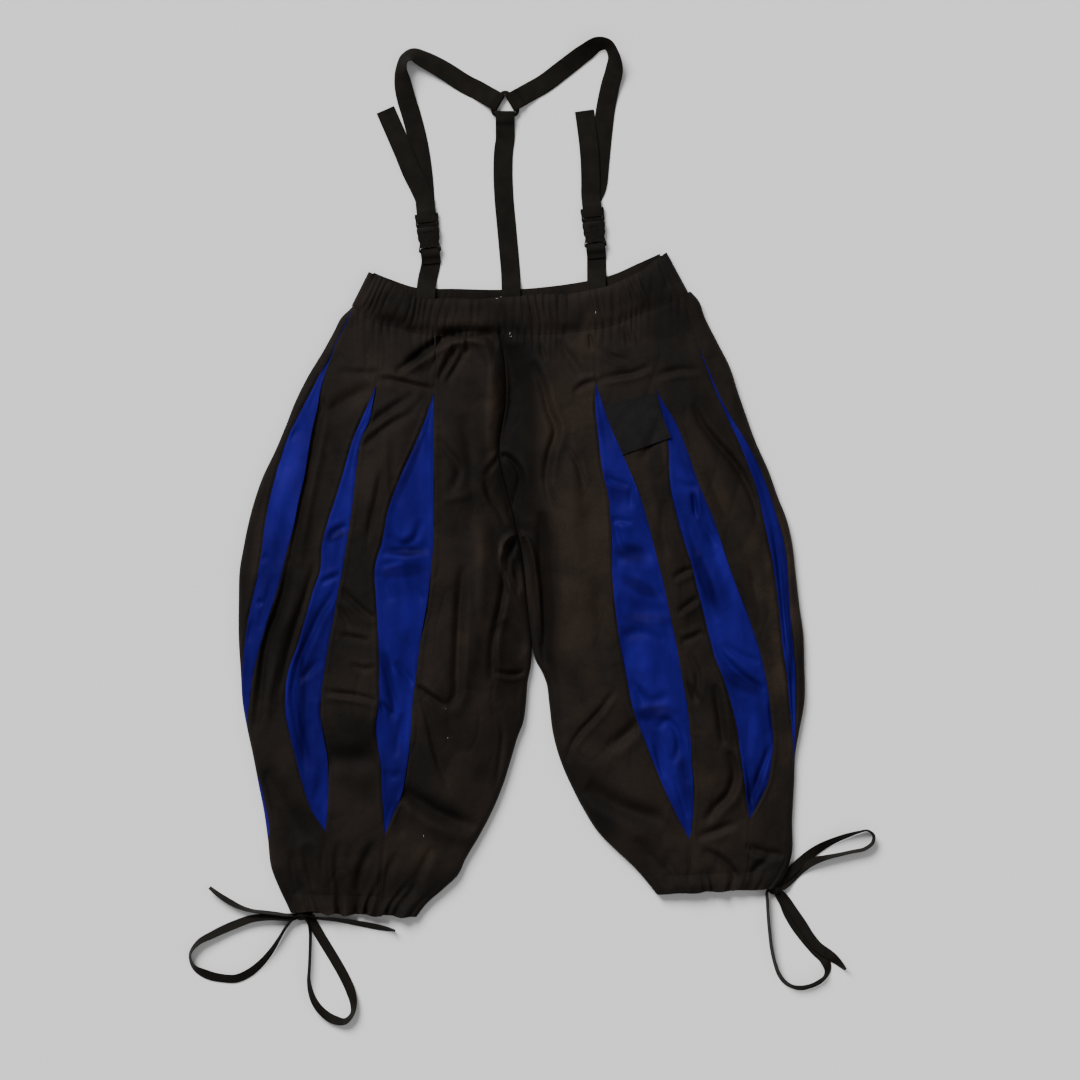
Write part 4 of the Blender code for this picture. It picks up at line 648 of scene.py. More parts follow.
def crease_relief(rows, x, y, widen=1.0):
    """Height that the creases add at points of the laid plane."""
    total = np.zeros(x.shape)
    for crease in rows:
        line, stations = smooth_line(crease.line)
        width = widen * crease.width * MM
        reach = CREASE_REACH * width
        low, high = line.min(0) - reach, line.max(0) + reach
        near = (x > low[0]) & (x < high[0]) & (y > low[1]) & (y < high[1])
        if not near.any():
            continue
        px, py = x[near], y[near]
        best = np.full(px.shape, np.inf)
        signed = np.zeros(px.shape)
        share = np.zeros(px.shape)
        for i in range(len(line) - 1):
            start, along = line[i], line[i + 1] - line[i]
            t = ((px - start[0]) * along[0] + (py - start[1]) * along[1]) / (along @ along)
            t = np.clip(t, 0, 1)
            dx, dy = px - start[0] - t * along[0], py - start[1] - t * along[1]
            away = np.hypot(dx, dy)
            closer = away < best
            best = np.where(closer, away, best)
            side = np.sign(along[0] * dy - along[1] * dx)
            signed = np.where(closer, side * away, signed)
            at = (stations[i] + t * (stations[i + 1] - stations[i])) / stations[-1]
            share = np.where(closer, at, share)
        taper = (4 * share * (1 - share)) ** 0.6
        value = -taper * bell(best, width)
        if crease.roll:
            beside = signed * math.copysign(1, crease.roll)
            value += abs(crease.roll) * taper * bell(beside - 1.75 * width, 1.15 * width)
        total[near] += crease.depth * MM * value
    return total


def wrinkle_relief(wrinkles, x, y, seed):
    """Small uneven wrinkles, longer down the leg than across it."""
    total = np.zeros(x.size)
    flat_x, flat_y = x.ravel() / MM, y.ravel() / MM
    for i, wrinkle in enumerate(wrinkles):
        offset = 40.0 * i + seed
        value = np.array([noise.noise(Vector((a / wrinkle.across, b / wrinkle.along, offset)))
                          for a, b in zip(flat_x, flat_y)])
        if wrinkle.sharp:
            patches = np.array([noise.noise(Vector((a / 90, b / 90, offset + 7)))
                                for a, b in zip(flat_x, flat_y)])
            value = -np.exp(-np.abs(value) / 0.07) * ease(0.5 + 2.4 * patches)
        total += wrinkle.height * MM * value
    return total.reshape(x.shape)


def gather_wave(share, count):
    """Uneven rows of gathers, from -1 to 1, with narrow valleys between round ridges."""
    drift = 0.013 * np.sin(23 * share) + 0.006 * np.sin(51 * share + 1)
    strength = 0.62 + 0.38 * np.sin(17 * share + 2) * np.cos(41 * share)
    turn = math.pi * count * (share + drift)
    return strength * (1 - 2 * (1 - np.abs(np.sin(turn))) ** 1.3)


def columns_between(*spans):
    """Columns side by side: each span is (start, end, how many), closer together at its ends."""
    parts = [spans[0][0][:, None]]
    for start, end, count in spans:
        share = np.arange(1, count + 1) / count
        share = 0.6 * share + 0.4 * (0.5 - 0.5 * np.cos(math.pi * share))
        parts.append(start[:, None] + (end - start)[:, None] * share)
    return np.concatenate(parts, 1)


class Leg:
    """One laid trouser leg, as a tube of cloth that lies on its back."""

    def __init__(self, name, outer, inner, slashes, waist, hem, inward):
        self.name = name
        self.inward = inward
        self.waist = np.array(waist, float)
        self.hem = np.array(hem, float)
        self.lines = {"outer": self.line(outer, "x"), "inner": self.line(inner, "x")}
        self.tips = {}
        for number, points in slashes.items():
            for side in ("out", "into"):
                self.lines[f"s{number}_{side}"] = self.line(points, side)
            shut = [i for i, point in enumerate(points) if point.out == point.into]
            top = max(i for i in shut if points[i].y < PICTURE_MIDDLE)
            low = min(i for i in shut if points[i].y > PICTURE_MIDDLE)
            self.tips[number] = tuple(
                float(self.find(*laid(points[i].out, points[i].y))[0]) for i in (top, low))

    @staticmethod
    def line(points, side):
        """A table of photo pixels as (y, x) in metres, from the lowest y to the highest."""
        pairs = [laid(getattr(point, side), point.y) for point in points[::-1]]
        return np.array([pair[1] for pair in pairs]), np.array([pair[0] for pair in pairs])

    def line_x(self, name, y):
        return smooth_through(*self.lines[name], y)

    def y_at(self, down, q):
        """Height in the laid plane, for a share down the leg and a share across it."""
        q = np.clip(q, 0, 1)
        top, low = smooth_through(*self.waist.T, q) * MM, smooth_through(*self.hem.T, q) * MM
        inner_top, inner_low = self.waist[-1, 1] * MM, self.hem[-1, 1] * MM
        level = inner_top + (inner_low - inner_top) * CROTCH_DOWN
        share = np.minimum(down / CROTCH_DOWN, (1 - down) / (1 - CROTCH_DOWN))
        return top + (low - top) * down + (CROTCH_Y - level) * q**2 * share

    def edges(self, down):
        """x of the outer edge and the width of the laid leg."""
        outer = self.line_x("outer", self.y_at(down, 0))
        inner = self.line_x("inner", self.y_at(down, 1)) - self.inward * SEAM_GAP
        return outer, (inner - outer) * self.inward

    def line_distance(self, name, down):
        """Distance of a line from the outer edge, along a row."""
        outer, width = self.edges(down)
        q = np.full(np.shape(down), 0.5)
        for _ in range(6):
            distance = (self.line_x(name, self.y_at(down, q)) - outer) * self.inward
            q = distance / width
        return distance

    def slash_edges(self, number, down):
        """Outer and inner edge of a slash; one line where it is sewn shut."""
        out = self.line_distance(f"s{number}_out", down)
        into = self.line_distance(f"s{number}_into", down)
        first, last = self.tips[number]
        is_open = ease((down - first) / TIP_EASE) * ease((last - down) / TIP_EASE)
        half = np.maximum(into - out, 0) / 2 * is_open
        middle = (out + into) / 2
        return middle - half, middle + half

    def crest(self, down):
        rise = np.sin(math.pi * np.clip(down, 0, 1) ** 0.85)
        ends = WAIST_CREST + (HEM_CREST - WAIST_CREST) * down
        return ends + (LEG_CREST - ends) * rise**0.8

    def seam_relief(self, down, distance, y, satin):
        """Stitching dips, turned edges and puckers beside the slashes and their seams."""
        total = np.zeros(distance.shape)
        nearest = np.full(distance.shape, 1.0)
        pucker = cloth_settings().pucker / MM * (SATIN_PUCKER if satin else 1)
        along = y / MM
        turn = 2 * math.pi * (along / PUCKER_LENGTH) + 1.7 * np.sin(along / 29)
        for number in self.tips:
            edges = self.slash_edges(number, down)
            shown = SHUT_SEAM + (1 - SHUT_SEAM) * ease((edges[1] - edges[0]) / (8 * MM))
            strength = 0.6 + 0.4 * np.sin(along / 41 + number)
            for edge in edges:
                off = (distance - edge) / MM
                away = np.abs(off)
                nearest = np.minimum(nearest, away * MM / shown)
                total -= 0.5 * shown * (SEAM_DIP * bell(off, SEAM_DIP_WIDTH)
                                        + WIDE_DIP * bell(off, WIDE_DIP_WIDTH))
                if not satin:
                    total += shown * TURNED_EDGE * bell(away - TURNED_EDGE_AT, TURNED_EDGE_WIDTH)
                total += (pucker * shown * strength * np.sin(turn + number)
                          * np.exp(-away / PUCKER_REACH) * ease(away / 1.6))
        if satin:
            total -= INSERT_SINK * (1 - bell(nearest, 5 * MM))
        return total * MM, nearest

    def top_height(self, down, distance, satin=False, plain=False):
        """Height of the front, seen from above, away from the rounded sides."""
        outer, width = self.edges(down)
        from_inner = width - distance
        dome = 1 - (1 - np.clip(distance / (OUTER_DOME * width), 0, 1)) ** 2
        dome = dome * (1 - (1 - np.clip(from_inner / (INNER_DOME * width), 0, 1)) ** 2)
        height = 2 * FOLD_RADIUS + (self.crest(down) - 2 * FOLD_RADIUS) * dome
        if plain:
            return height
        across = distance / width
        x, y = outer + self.inward * distance, self.y_at(down, across)
        seams, nearest = self.seam_relief(down, distance, y, satin)
        fade = ease(nearest / SEAM_CLEARING)
        deep = cloth_settings().crease_depth * (SATIN_SHARE if satin else 1)
        both = deep * crease_relief(COTTON_CREASES, x, y)
        own = SATIN_DEPTH * crease_relief(SATIN_CREASES, x, y, SATIN_SPREAD) if satin else 0
        small = wrinkle_relief(*((SATIN_WRINKLES, x, y, 7.0) if satin
                                 else (COTTON_WRINKLES, x, y, 0.0)))
        relief = both * (fade if satin else 0.4 + 0.6 * fade) + own * fade + small
        share = (x - BAND_LEFT) / (BAND_RIGHT - BAND_LEFT)
        under_band = np.exp(-down * LEG_LENGTH / UNDER_BAND_REACH)
        relief = relief + UNDER_BAND_RISE * under_band * gather_wave(share, BAND_GATHERS)
        over_hem = np.exp(-(1 - down) * LEG_LENGTH / OVER_HEM_REACH)
        drawn = OVER_HEM_RISE * HEM_DRAWN[self.name] * MM
        relief = relief + drawn * over_hem * hem_wave(across)
        side = np.where(down < CROTCH_DOWN, 0.7, 2.0)
        near = np.minimum(distance / (2 * FOLD_RADIUS), from_inner / (side * FOLD_RADIUS))
        height = height + seams + ease(near) * relief
        return np.maximum(height, LOWEST_TROUGH)

    def unrolled(self, distance):
        """Arc from the outer edge, for a distance seen from above; below 0 it is underneath."""
        inside = np.clip(1 - distance / FOLD_RADIUS, -1, 1)
        rolled = FOLD_RADIUS * np.arccos(inside)
        flat = distance + (math.pi / 2 - 1) * FOLD_RADIUS
        return np.where(distance < 0, distance, np.where(distance < FOLD_RADIUS, rolled, flat))

    def girth(self, down):
        """Arc from the outer edge over the front to the inner edge."""
        return self.edges(down)[1] + 2 * (math.pi / 2 - 1) * FOLD_RADIUS

    def point(self, down, arc, satin=False, plain=False):
        """Point of the cloth's outside, for a share down the leg and an arc across it."""
        down, arc = np.broadcast_arrays(down, arc)
        outer, width = self.edges(down)
        arc_in = self.girth(down) - arc
        nearer = np.minimum(arc, arc_in)
        angle = np.clip(nearer, -QUARTER, QUARTER) / FOLD_RADIUS
        round_the_side = FOLD_RADIUS * (1 - np.cos(angle))
        on_top = nearer - QUARTER + FOLD_RADIUS
        beneath = -nearer - QUARTER + FOLD_RADIUS
        from_side = np.where(np.abs(nearer) <= QUARTER, round_the_side,
                             np.maximum(on_top, beneath))
        distance = np.where(arc <= arc_in, from_side, width - from_side)
        over = ease(np.sin(angle))
        height = FOLD_RADIUS * (1 + np.sin(angle))
        rise = self.top_height(down, np.clip(distance, 0, width), satin, plain) - 2 * FOLD_RADIUS
        z = np.where(angle > 0, height + rise * over, height)
        y = self.y_at(down, distance / width)
        return np.stack([outer + self.inward * distance, y, z], -1)

    def normal(self, down, arc):
        """Outward direction of the plain cloth at a point."""

        def change(by_down, by_arc):
            return (self.point(down + by_down, arc + by_arc, plain=True)
                    - self.point(down - by_down, arc - by_arc, plain=True))

        normal = np.cross(change(0, 0.4 * MM), change(0.001, 0)) * -self.inward
        return normal / np.linalg.norm(normal, axis=-1, keepdims=True)

    def find(self, x, y):
        """Share down the leg and distance across it of a point of the laid plane."""
        down = np.full(np.shape(x), 0.3)
        for _ in range(14):
            outer, width = self.edges(down)
            distance = (x - outer) * self.inward
            down = down + (self.y_at(down, distance / width) - y) / LEG_LENGTH
        return down, distance


def hem_wave(share):
    """The hem's gathers across a leg, from -1 to 1, dying out at both sides."""
    share = np.clip(share, 0, 1)
    drift = 0.035 * np.sin(9 * share) + 0.013 * np.sin(31 * share + 1)
    phase = 2 * math.pi * HEM_GATHERS * (share + drift)
    strength = 0.6 + 0.4 * np.sin(11 * share + 1) * np.cos(23 * share)
    return strength * np.sin(phase) * np.sin(math.pi * share) ** 0.3


# Settings, with the sizes and colours that a user would change


class ClothSettings(bpy.types.PropertyGroup):
    """Walls, puckers and colours of the trousers' cloth."""

    cotton_wall: FloatProperty(
        name="Cotton wall", description="Thickness of the cotton as it is drawn",
        default=1.1 * MM, unit="LENGTH")
    satin_wall: FloatProperty(
        name="Satin wall", description="Thickness of the satin inserts as they are drawn",
        default=0.8 * MM, unit="LENGTH")
    band_wall: FloatProperty(
        name="Band wall", description="Thickness of the waistband with its elastic",
        default=1.8 * MM, unit="LENGTH")
    crease_depth: FloatProperty(
        name="Crease depth", description="Depth of the creases, as a share of the tables' depths",
        default=1.5, subtype="FACTOR")
    pucker: FloatProperty(
        name="Seam pucker", description="Height of the puckers beside the slash seams",
        default=0.25 * MM, unit="LENGTH")
    cotton_colour: FloatVectorProperty(
        name="Cotton colour", description="Colour of the cotton's lighter patches",
        default=(0.0126, 0.0088, 0.0063), subtype="COLOR", size=3)
    cotton_shade: FloatVectorProperty(
        name="Cotton shade", description="Colour of the cotton's darker patches",
        default=(0.0056, 0.0044, 0.0035), subtype="COLOR", size=3)
    satin_colour: FloatVectorProperty(
        name="Satin colour", description="Colour of the satin's lighter patches",
        default=(0.0115, 0.0035, 0.118), subtype="COLOR", size=3)
    satin_shade: FloatVectorProperty(
        name="Satin shade", description="Colour of the satin's darker patches",
        default=(0.0072, 0.0018, 0.076), subtype="COLOR", size=3)


class TapeSettings(bpy.types.PropertyGroup):
    """Sizes of the webbing and the laces, and colours of the webbing and the plastic."""

    webbing_width: FloatProperty(
        name="Webbing width", description="Width of the braces' webbing",
        default=21 * MM, unit="LENGTH")
    webbing_thick: FloatProperty(
        name="Webbing thickness", description="Thickness of the braces' webbing",
        default=WEBBING_THICK * MM, unit="LENGTH")
    lace_width: FloatProperty(
        name="Lace width", description="Width of the hem laces where they lie flat",
        default=11 * MM, unit="LENGTH")
    lace_thick: FloatProperty(
        name="Lace thickness", description="Thickness of the hem laces",
        default=1.0 * MM, unit="LENGTH")
    webbing_colour: FloatVectorProperty(
        name="Webbing colour", description="Colour of the webbing",
        default=(0.0066, 0.0053, 0.0038), subtype="COLOR", size=3)
    plastic_colour: FloatVectorProperty(
        name="Plastic colour", description="Colour of the ring and the buckles",
        default=(0.0046, 0.0039, 0.0030), subtype="COLOR", size=3)


class StageSettings(bpy.types.PropertyGroup):
    """Floor, lamps and lens."""

    floor_colour: FloatVectorProperty(
        name="Floor colour", description="Colour of the pale floor",
        default=(0.80, 0.80, 0.80), subtype="COLOR", size=3)
    key_strength: FloatProperty(
        name="Key strength", description="Strength of the large soft light beyond the waist",
        default=4.9)
    fill_strength: FloatProperty(
        name="Fill strength", description="Strength of the soft light on the other side",
        default=0.45)
    world_strength: FloatProperty(
        name="World strength", description="Brightness of the even light all round",
        default=0.28)
    lens: FloatProperty(
        name="Lens", description="Focal length of the camera in mm",
        default=200.0)


SETTINGS = {
    "trousers_cloth": ClothSettings,
    "trousers_tape": TapeSettings,
    "trousers_stage": StageSettings,
}


def cloth_settings():
    return bpy.context.scene.trousers_cloth


# Materials


def feed(tree, value, socket):
    """Gives a socket a number, a colour or what another node puts out."""
    if isinstance(value, bpy.types.NodeSocket):
        tree.links.new(value, socket)
    else:
        socket.default_value = value


def node(tree, kind, **settings):
    """A shader node: a name with a capital is an input, any other one of its properties."""
    made = tree.nodes.new(kind)
    for name, value in settings.items():
        if name[0].isupper():
            feed(tree, value, made.inputs[name.replace("_", " ")])
        else:
            setattr(made, name, value)
    return made


def start_material(name, **sockets):
    """A material with its shader's own numbers set, its tree and its shader."""
    mat = bpy.data.materials.new(name)
    mat.use_nodes = True
    shader = mat.node_tree.nodes["Principled BSDF"]
    for socket, value in sockets.items():
        shader.inputs[socket.replace("_", " ")].default_value = value
    return mat, mat.node_tree, shader


def mapped(tree, source, **settings):
    """Coordinates from UV or Object, moved, turned and scaled."""
    place = node(tree, "ShaderNodeTexCoord").outputs[source]
    return node(tree, "ShaderNodeMapping", **settings, Vector=place).outputs["Vector"]


def millimetres(tree, source, scale=(1000, 1000, 1000), turn=0.0):
    """Coordinates from UV or Object, scaled from metres."""
    return mapped(tree, source, Scale=scale, Rotation=(0, 0, turn))


def wave(tree, place, direction, period):
    """Rows of threads: a sine along one direction, period in the mapping's units."""
    return node(tree, "ShaderNodeTexWave", wave_type="BANDS", bands_direction=direction,
                Scale=0.314 / period, Vector=place).outputs["Fac"]


def spots(tree, place, scale, detail=2.0, roughness=0.5):
    """Uneven soft spots, smaller with a larger scale."""
    return node(tree, "ShaderNodeTexNoise", Scale=scale, Detail=detail, Roughness=roughness,
                Vector=place).outputs["Fac"]


def combine(tree, operation, first, second):
    """Two values, or a value and a number, added or multiplied."""
    made = node(tree, "ShaderNodeMath", operation=operation)
    feed(tree, first, made.inputs[0])
    feed(tree, second, made.inputs[1])
    return made.outputs["Value"]


def ramp(tree, source, low, high, low_at=0.35, high_at=0.65, interpolation="LINEAR"):
    """Colour between two, by a texture's value."""
    made = node(tree, "ShaderNodeValToRGB", Fac=source)
    made.color_ramp.interpolation = interpolation
    first, last = made.color_ramp.elements
    first.position, last.position = low_at, high_at
    first.color, last.color = (*low, 1), (*high, 1)
    return made.outputs["Color"]


def times(colour, amount):
    return [amount * c for c in colour]


def multiplied(tree, colour, other, amount=1.0):
    """Two colours multiplied."""
    mixed = node(tree, "ShaderNodeMix", data_type="RGBA", blend_type="MULTIPLY")
    for i, value in ((0, amount), (6, colour), (7, other)):
        feed(tree, value, mixed.inputs[i])
    return mixed.outputs[2]


def add_bump(tree, shader, height, strength, distance):
    bump = node(tree, "ShaderNodeBump", Strength=strength, Distance=distance, Height=height)
    feed(tree, bump.outputs["Normal"], shader.inputs["Normal"])


def add_colour(tree, shader, colour, painted_patches=()):
    """The shader's colour, with painted shade and painted light in the soft patches given."""
    for fade in painted_patches:
        place = mapped(tree, "Object", vector_type="TEXTURE",
                       Location=(*laid(fade.x, fade.y), 0),
                       Rotation=(0, 0, math.radians(fade.turn)),
                       Scale=(fade.wide * PIXEL, fade.long * PIXEL, 1))
        ball = node(tree, "ShaderNodeTexGradient", gradient_type="SPHERICAL", Vector=place)
        # Painted light on the cotton is tinted warm
        warmth = PAINTED_LIGHT_WARMTH if painted_patches is COTTON_PAINTED_SHADING and fade.shade > 1 else (1, 1, 1)
        tint = ramp(tree, ball.outputs["Fac"], (1, 1, 1), times(warmth, fade.shade), 0.0, 0.6,
                    "EASE")
        colour = multiplied(tree, colour, tint)
    feed(tree, colour, shader.inputs["Base Color"])


def cotton_material(name):
    """Soft brushed cotton: plain weave under a short nap, uneven warm tone, painted shade and
    light.
    """
    settings = cloth_settings()
    mat, tree, shader = start_material(
        name, Roughness=0.78, Specular_IOR_Level=0.10, Sheen_Weight=0.02,
        Sheen_Roughness=0.45, Sheen_Tint=(0.75, 0.62, 0.5, 1))
    cloth = millimetres(tree, "UV")
    threads = combine(tree, "MULTIPLY", wave(tree, cloth, "X", 0.62),
                      wave(tree, cloth, "Y", 0.74))
    nap = spots(tree, cloth, 0.9, 3.0, 0.65)
    height = combine(tree, "ADD", combine(tree, "MULTIPLY", threads, 0.35), nap)
    add_bump(tree, shader, height, 0.55, 0.00022)
    patches = spots(tree, millimetres(tree, "Object"), 0.016, 4.0, 0.55)
    shade = ramp(tree, patches, settings.cotton_shade, settings.cotton_colour, 0.38, 0.62)
    lint = ramp(tree, spots(tree, cloth, 0.55, 4.0, 0.7), (0.72, 0.72, 0.72),
                (1.25, 1.22, 1.18), 0.36, 0.66)
    # Painted shade and painted light in soft patches over the cotton's own uneven tone
    add_colour(tree, shader, multiplied(tree, shade, lint, 0.8), COTTON_PAINTED_SHADING)
    return mat


def satin_material(name):
    """Royal blue satin: close diagonal ribs, a soft broad gloss, uneven depth of colour, painted
    shade on its folds.
    """
    settings = cloth_settings()
    mat, tree, shader = start_material(
        name, Roughness=0.50, Specular_IOR_Level=0.04, Specular_Tint=(0.4, 0.6, 1, 1),
        Sheen_Weight=0.06, Sheen_Roughness=0.35, Sheen_Tint=(0.10, 0.16, 1.0, 1))
    ribs = wave(tree, millimetres(tree, "UV", turn=math.radians(32)), "X", 0.55)
    creep = spots(tree, millimetres(tree, "UV"), 0.16, 3.0, 0.6)
    height = combine(tree, "ADD", combine(tree, "MULTIPLY", ribs, 0.16), creep)
    add_bump(tree, shader, height, 0.4, 0.0004)
    patches = spots(tree, millimetres(tree, "Object", (1000, 520, 1000)), 0.028, 3.0, 0.55)
    shade = ramp(tree, patches, settings.satin_shade, settings.satin_colour, 0.36, 0.64)
    # Painted shade along the satin's folds and painted light on its rises
    add_colour(tree, shader, shade, SATIN_PAINTED_SHADING)
    return mat


def webbing_material(name, rib, roughness):
    """Woven tape: ribs across it and rows of thread along it."""
    colour = bpy.context.scene.trousers_tape.webbing_colour
    mat, tree, shader = start_material(
        name, Roughness=roughness, Specular_IOR_Level=0.08, Sheen_Weight=0.01,
        Sheen_Roughness=0.4, Sheen_Tint=(0.8, 0.72, 0.64, 1))
    tape = millimetres(tree, "UV")
    along = combine(tree, "MULTIPLY", wave(tree, tape, "X", 1.1), 0.8)
    height = combine(tree, "MULTIPLY", wave(tree, tape, "Y", rib), along)
    add_bump(tree, shader, height, 0.8, 0.0003)
    worn = spots(tree, tape, 0.05, 4.0, 0.6)
    add_colour(tree, shader, ramp(tree, worn, times(colour, 0.72), times(colour, 1.3), 0.35, 0.68))
    return mat


def patch_material(name):
    """The bare patch: close, slightly glossy label weave."""
    mat, tree, shader = start_material(name, Roughness=0.58, Specular_IOR_Level=0.1)
    place = millimetres(tree, "UV")
    height = combine(tree, "ADD", wave(tree, place, "X", 0.4), wave(tree, place, "Y", 0.32))
    add_bump(tree, shader, height, 0.5, 0.00012)
    worn = spots(tree, place, 0.09, 4.0, 0.6)
    add_colour(tree, shader, ramp(tree, worn, (0.0032, 0.0027, 0.0028), (0.0058, 0.0049, 0.0052)))
    return mat


def plastic_material(name):
    """Moulded black plastic, finely grained, with scuffed high spots."""
    colour = bpy.context.scene.trousers_tape.plastic_colour
    mat, tree, shader = start_material(name, Roughness=0.46, Specular_IOR_Level=0.06)
    place = millimetres(tree, "Object")
    add_bump(tree, shader, spots(tree, place, 2.4, 3.0, 0.6), 0.3, 0.00012)
    scuffs = spots(tree, place, 0.35, 5.0, 0.7)
    gloss = ramp(tree, scuffs, (0.40, 0.40, 0.40), (0.54, 0.54, 0.54))
    feed(tree, gloss, shader.inputs["Roughness"])
    add_colour(tree, shader, ramp(tree, scuffs, colour, times(colour, 1.7)))
    return mat


def thread_material(name, colour):
    """Twisted sewing thread."""
    mat, tree, shader = start_material(name, Roughness=0.7, Specular_IOR_Level=0.12)
    twist = wave(tree, millimetres(tree, "Object"), "DIAGONAL", 0.5)
    add_bump(tree, shader, twist, 0.5, 0.0001)
    # Darker in the twist's grooves: painted shade that follows the bump
    add_colour(tree, shader, ramp(tree, twist, times(colour, 0.7), colour))
    return mat


def shared_material(name, maker, *args):
    """The material of that name, made when it's first asked for."""
    return bpy.data.materials.get(name) or maker(name, *args)


def dark_thread():
    return shared_material("dark_thread", thread_material, (0.0060, 0.0050, 0.0044))


# Meshes


def new_mesh(name, bm):
    """A mesh from a bmesh, which is freed."""
    mesh = bpy.data.meshes.new(name)
    bm.to_mesh(mesh)
    bm.free()
    return mesh


def add_object(name, mesh, mat):
    mesh.materials.append(mat)
    obj = bpy.data.objects.new(name, mesh)
    bpy.context.scene.collection.objects.link(obj)
    return obj


def place_piece(obj, slot, *nodes):
    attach(obj, "root")
    if nodes:
        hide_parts(*nodes)
    return obj


def sheet_mesh(name, points, flat, outward, mat):
    """One layer of cloth from a grid of points and its flat places, faces towards outward."""
    rows, columns = points.shape[:2]
    by_column = points[:, 1:] - points[:, :-1]
    by_row = points[1:] - points[:-1]
    facing = np.cross(by_column[:-1], by_row[:, :-1])
    if np.sum(facing * outward[:-1, :-1]) < 0:
        points, flat = points[:, ::-1], flat[:, ::-1]
    bm = bmesh.new()
    bmesh.ops.create_grid(bm, x_segments=columns - 1, y_segments=rows - 1, size=0.5)
    mesh = new_mesh(name, bm)
    start = np.empty(3 * rows * columns)
    mesh.vertices.foreach_get("co", start)
    start = start.reshape(-1, 3)
    column = np.rint((start[:, 0] + 0.5) * (columns - 1)).astype(int)
    row = np.rint((start[:, 1] + 0.5) * (rows - 1)).astype(int)
    mesh.vertices.foreach_set("co", points[row, column].ravel())
    corner = np.empty(len(mesh.loops), int)
    mesh.loops.foreach_get("vertex_index", corner)
    layer = mesh.uv_layers.new(name="UVMap")
    layer.data.foreach_set("uv", flat[row, column][corner].ravel())
    mesh.update()
    mesh.shade_smooth()
    return add_object(name, mesh, mat)


def wall(obj, thickness):
    """Gives one layer of cloth its thickness, inwards, with crisp cut edges."""
    bm = bmesh.new()
    bm.from_mesh(obj.data)
    for edge in bm.edges:
        edge.smooth = not edge.is_boundary
    bm.to_mesh(obj.data)
    bm.free()
    modifier = obj.modifiers.new("wall", "SOLIDIFY")
    modifier.thickness = thickness
    modifier.offset = -1


def flat_grid(across, along):
    """Flat places of a grid of points, from its distances across and along the cloth."""
    return np.stack(np.broadcast_arrays(across, along), -1)


def flat_size(flat):
    """Width and length of a flat cut."""
    return tuple(float(v) for v in flat.reshape(-1, 2).max(0) - flat.reshape(-1, 2).min(0))


def upwards(points, share):
    """Outward directions for a grid of points: up, or down with a negative share."""
    outward = np.zeros_like(points)
    outward[..., 2] = share
    return outward


def sew(node_name, points, flat, outward, thickness, satin=False):
    """One sewn piece of cloth in place of its CAD node."""
    mat = (shared_material("royal_satin", satin_material) if satin
           else shared_material("brushed_cotton", cotton_material))
    obj = sheet_mesh(f"cloth_{node_name}", points, flat, outward, mat)
    wall(obj, thickness)
    return place_piece(obj, "blue_satin" if satin else "black_cotton", node_name)


def tape_frame(ways, thick, width):
    """Middle line of a tape, its direction across and the direction it faces."""
    rows = np.array(ways, float)
    far = np.linalg.norm(np.diff(rows[:, :3], axis=0), axis=1)
    stations = np.concatenate([[0], np.cumsum(far)])
    count = (len(rows) - 1) * TAPE_STEPS
    fine = np.interp(np.arange(count + 1) / TAPE_STEPS, np.arange(len(rows)), stations)
    line = np.stack([smooth_through(stations, rows[:, i], fine) for i in range(4)], -1)
    tilt = np.radians(line[:, 3])
    centre = line[:, :3] * MM
    centre[:, 2] = np.maximum(centre[:, 2], 0)
    along = np.gradient(centre, axis=0)
    along /= np.linalg.norm(along, axis=1, keepdims=True)
    centre[:, 2] += thick / 2 + width / 2 * np.abs(np.sin(tilt))
    across = np.zeros_like(centre)
    side = None
    for i, step in enumerate(along):
        level_way = np.array([-step[1], step[0], 0])
        level = np.linalg.norm(level_way)
        if side is None or level > 0.25:
            turned = level_way / level
            side = turned if side is None or turned @ side > 0 else -turned
        across[i] = side - step * (side @ step)
    across /= np.linalg.norm(across, axis=1, keepdims=True)
    normal = np.cross(along, across)
    turned = across * np.cos(tilt)[:, None] + normal * np.sin(tilt)[:, None]
    return centre, turned, np.cross(along, turned)


def tape_section(thick, width, rim):
    """Closed outline across a tape: flat faces, round edges, and a rim thicker than the rest."""
    turn = 2 * math.pi * np.arange(TAPE_SIDES + 1) / TAPE_SIDES
    u = np.sign(np.cos(turn)) * np.abs(np.cos(turn)) ** 0.62
    v = np.sign(np.sin(turn)) * np.abs(np.sin(turn)) ** 0.35
    height = 1 - rim + rim * np.abs(u) ** 3
    u, v = u * width / 2, v * height * thick / 2
    u[-1], v[-1] = u[0], v[0]
    return u, v


def tape_mesh(name, ways, width, thick, mat, rim, pinched=(False, False)):
    """Closed flat tape along a list of ways, drawn narrow at a pinched start or end."""
    centre, turned, face = tape_frame(ways, thick, width)
    u, v = tape_section(thick, width, rim)
    far = np.concatenate([[0], np.cumsum(np.linalg.norm(np.diff(centre, axis=0), axis=1))])
    share = np.ones(len(far))
    for drawn, from_end in zip(pinched, (far, far[-1] - far)):
        if drawn:
            share *= PINCH + (1 - PINCH) * ease(from_end / PINCH_LENGTH)
    points = (centre[:, None] + turned[:, None] * (u * share[:, None])[..., None]
              + face[:, None] * v[None, :, None])
    around = np.concatenate([[0], np.cumsum(np.hypot(np.diff(u), np.diff(v)))])
    flat = flat_grid(around, far[:, None])
    obj = sheet_mesh(name, points, flat, points - centre[:, None], mat)
    close_ends(obj)
    return obj, centre, float(far[-1])


